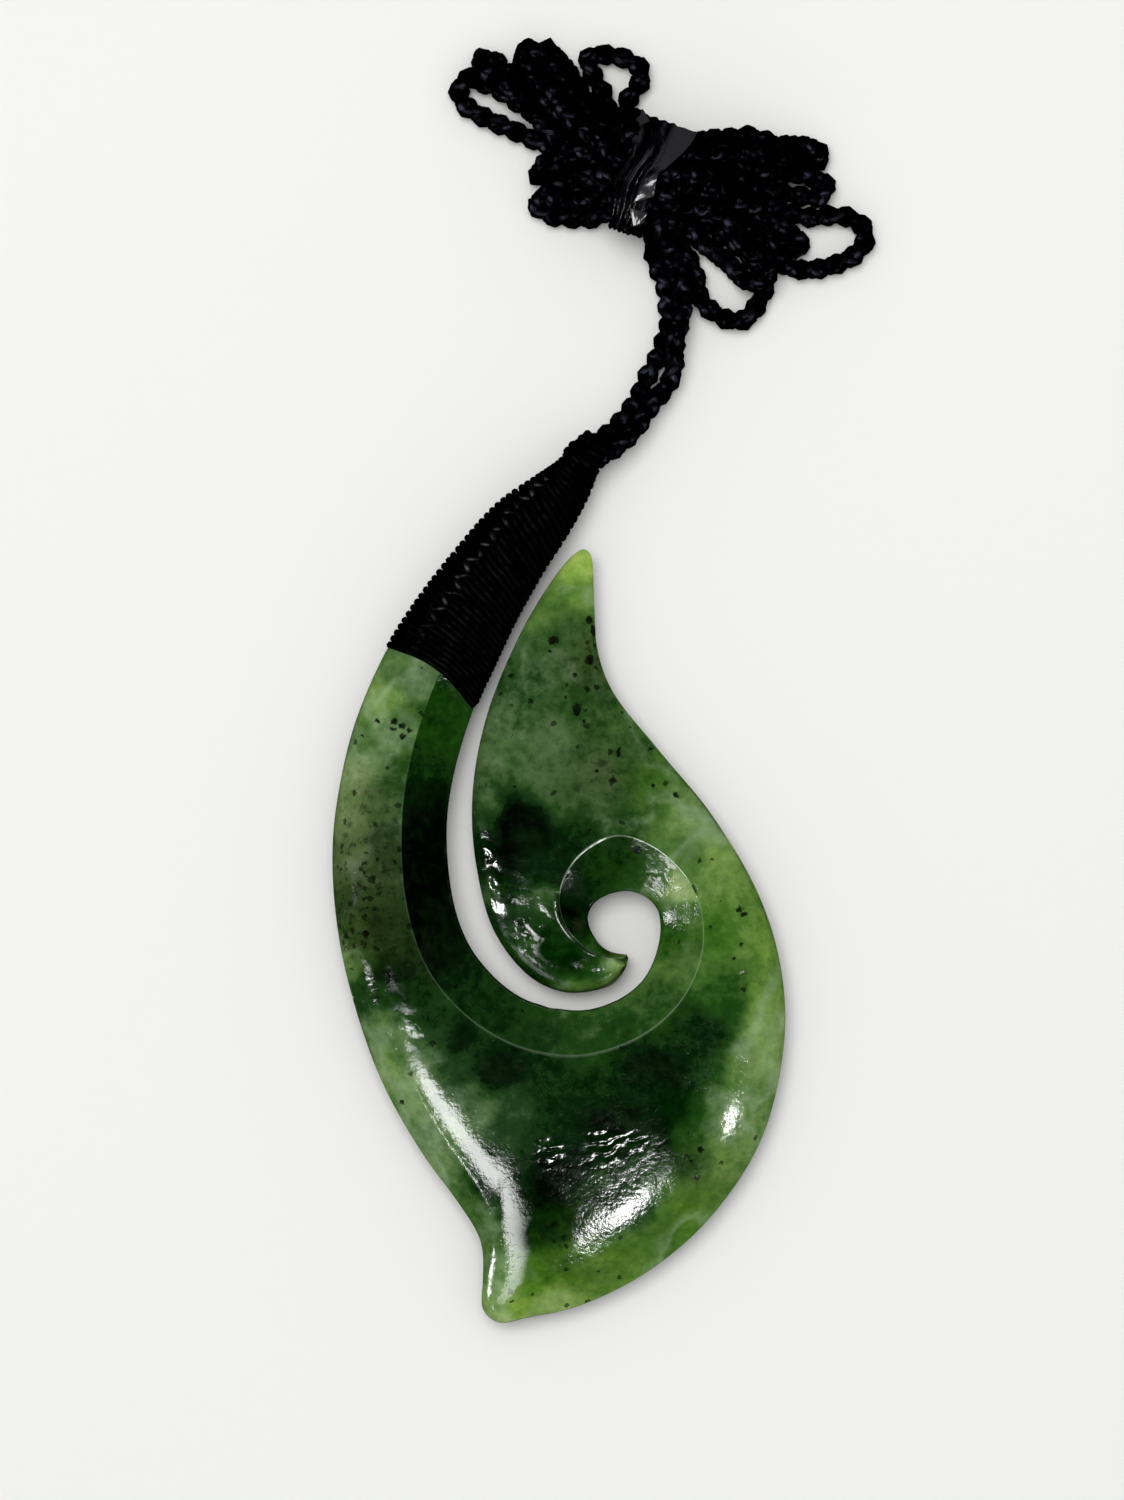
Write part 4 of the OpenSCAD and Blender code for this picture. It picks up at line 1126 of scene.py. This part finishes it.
def waxed_thread():
    """Black waxed thread, nearly matt, with a fine twist. The half hitches shine more."""
    s = Shader("waxed_thread", Base_Color="#010102", Roughness=0.42, IOR=1.45, Specular_IOR_Level=0.05)
    at = s.add("TexCoord", {}, "Object")
    fine, lumps = (s.add("TexNoise", {"Vector": at, "Scale": scale, "Detail": 2}) for scale in (6000, 1100))
    lumps = s.add("ValToRGB", {"Fac": lumps}, stops=[(0.42, 0.1), (0.62, 1.0)])
    gloss = s.add("Attribute", {}, "Fac", attribute_name="gloss")
    gloss = s.add("Math", (gloss, 0.4, 0.04), operation="MULTIPLY_ADD")
    s.set(s.bsdf, {
        "Specular IOR Level": s.add("Math", (gloss, lumps), operation="MULTIPLY"),
        "Normal": s.add("Bump", {"Height": fine, "Strength": 0.4, "Distance": 0.00005}),
    })
    return s.material


def black_film():
    """Thin glossy film, drawn into sharp pleats of about 1 mm that run round the waist; painted shade darkens
    the pleats' hollows and painted sheen lightens their tops. Where it is stretched smooth it has no
    pleats, and a painted sheen makes it greyer."""
    s = Shader("black_film", Roughness=0.15, IOR=1.5)
    grain = s.add("Attribute", {}, "Vector", attribute_name="grain")
    smooth = s.add("Attribute", {}, "Fac", attribute_name="smooth")
    pleats = s.add("TexNoise", {"Vector": grain, "Scale": 1.8, "Detail": 3})
    # Painted shade in the pleats' hollows and painted sheen on their tops
    pleat_shade_and_sheen = s.add("ValToRGB", {"Fac": pleats},
                 stops=[(0.46, "#010102"), (0.56, "#0C0C10"), (0.64, "#2C2C32")])
    sharp = s.add("Math", (smooth, -0.7, 0.9), operation="MULTIPLY_ADD")
    s.set(s.bsdf, {
        # Where the film is smooth, a flat grey: painted sheen
        "Base Color": s.add("Mix", {0: smooth, 6: pleat_shade_and_sheen, 7: "#28282A"}, 2, data_type="RGBA"),
        "Specular IOR Level": s.add("Math", (smooth, 0.25, 0.35), operation="MULTIPLY_ADD"),
        "Normal": s.add("Bump", {"Height": pleats, "Strength": sharp, "Distance": 0.0007}),
    })
    return s.material


def ground():
    """Matt off-white paper."""
    return Shader("ground", Base_Color="#F1F1EE", Roughness=0.9, Specular_IOR_Level=0.2).material


def dress(obj, material):
    """Gives an object its material."""
    obj.data.materials.clear()
    obj.data.materials.append(material)


dress(stone, greenstone())
dress(neck_cord, braided_cord())
dress(thread, waxed_thread())
dress(tie, black_film())

# The paper, half a side in mm, just under the pendant
PAPER = 400
floor = mesh_object("floor", [[x * PAPER, y * PAPER, -0.01] for x, y in ((-1, -1), (1, -1), (1, 1), (-1, 1))],
                    [[0, 1, 2, 3]])
dress(floor, ground())
floor.visible_glossy = False


# Light: a soft even room and a broad lamp overhead, which give light but aren't mirrored, and five windows
# that are only mirrored: three at the left, one below and a small one at the right
def area_light(name, compass, height, size_mm, watts, mirrored=True):
    """A lamp 1 m from the middle, by its compass angle from +X and its height angle, in degrees. It is
    seen only in mirrored light, or else only as light."""
    light = bpy.data.lights.new(name, "AREA")
    light.shape = "RECTANGLE"
    light.size, light.size_y = size_mm[0] * MM, size_mm[1] * MM
    light.energy = watts
    obj = bpy.data.objects.new(name, light)
    a, e = math.radians(compass), math.radians(height)
    z = np.array([math.cos(a) * math.cos(e), math.sin(a) * math.cos(e), math.sin(e)])
    x = np.array([-math.sin(a), math.cos(a), 0.0])
    obj.location = z
    obj.rotation_euler = Matrix(np.column_stack([x, np.cross(z, x), z]).tolist()).to_euler()
    obj.visible_glossy = mirrored
    obj.visible_diffuse = not mirrored
    bpy.context.scene.collection.objects.link(obj)


world = bpy.data.worlds.new("room")
bpy.context.scene.world = world
world.use_nodes = True
world.node_tree.nodes["Background"].inputs["Color"].default_value = rgba("#F6F7F8")
world.node_tree.nodes["Background"].inputs["Strength"].default_value = 0.585
world.cycles_visibility.glossy = False
area_light("key", 120, 74, (600, 600), 5.5, mirrored=False)
area_light("window_left", 228, 54, (380, 340), 5.4)
area_light("window_below", 294, 64, (110, 115), 2.6)
area_light("window_right", 328, 42, (90, 50), 1.4)
area_light("low_left", 226, 27, (240, 50), 0.9)
area_light("left_edge", 192, 21, (110, 120), 2.4)

bpy.context.scene.view_settings.view_transform = "Standard"
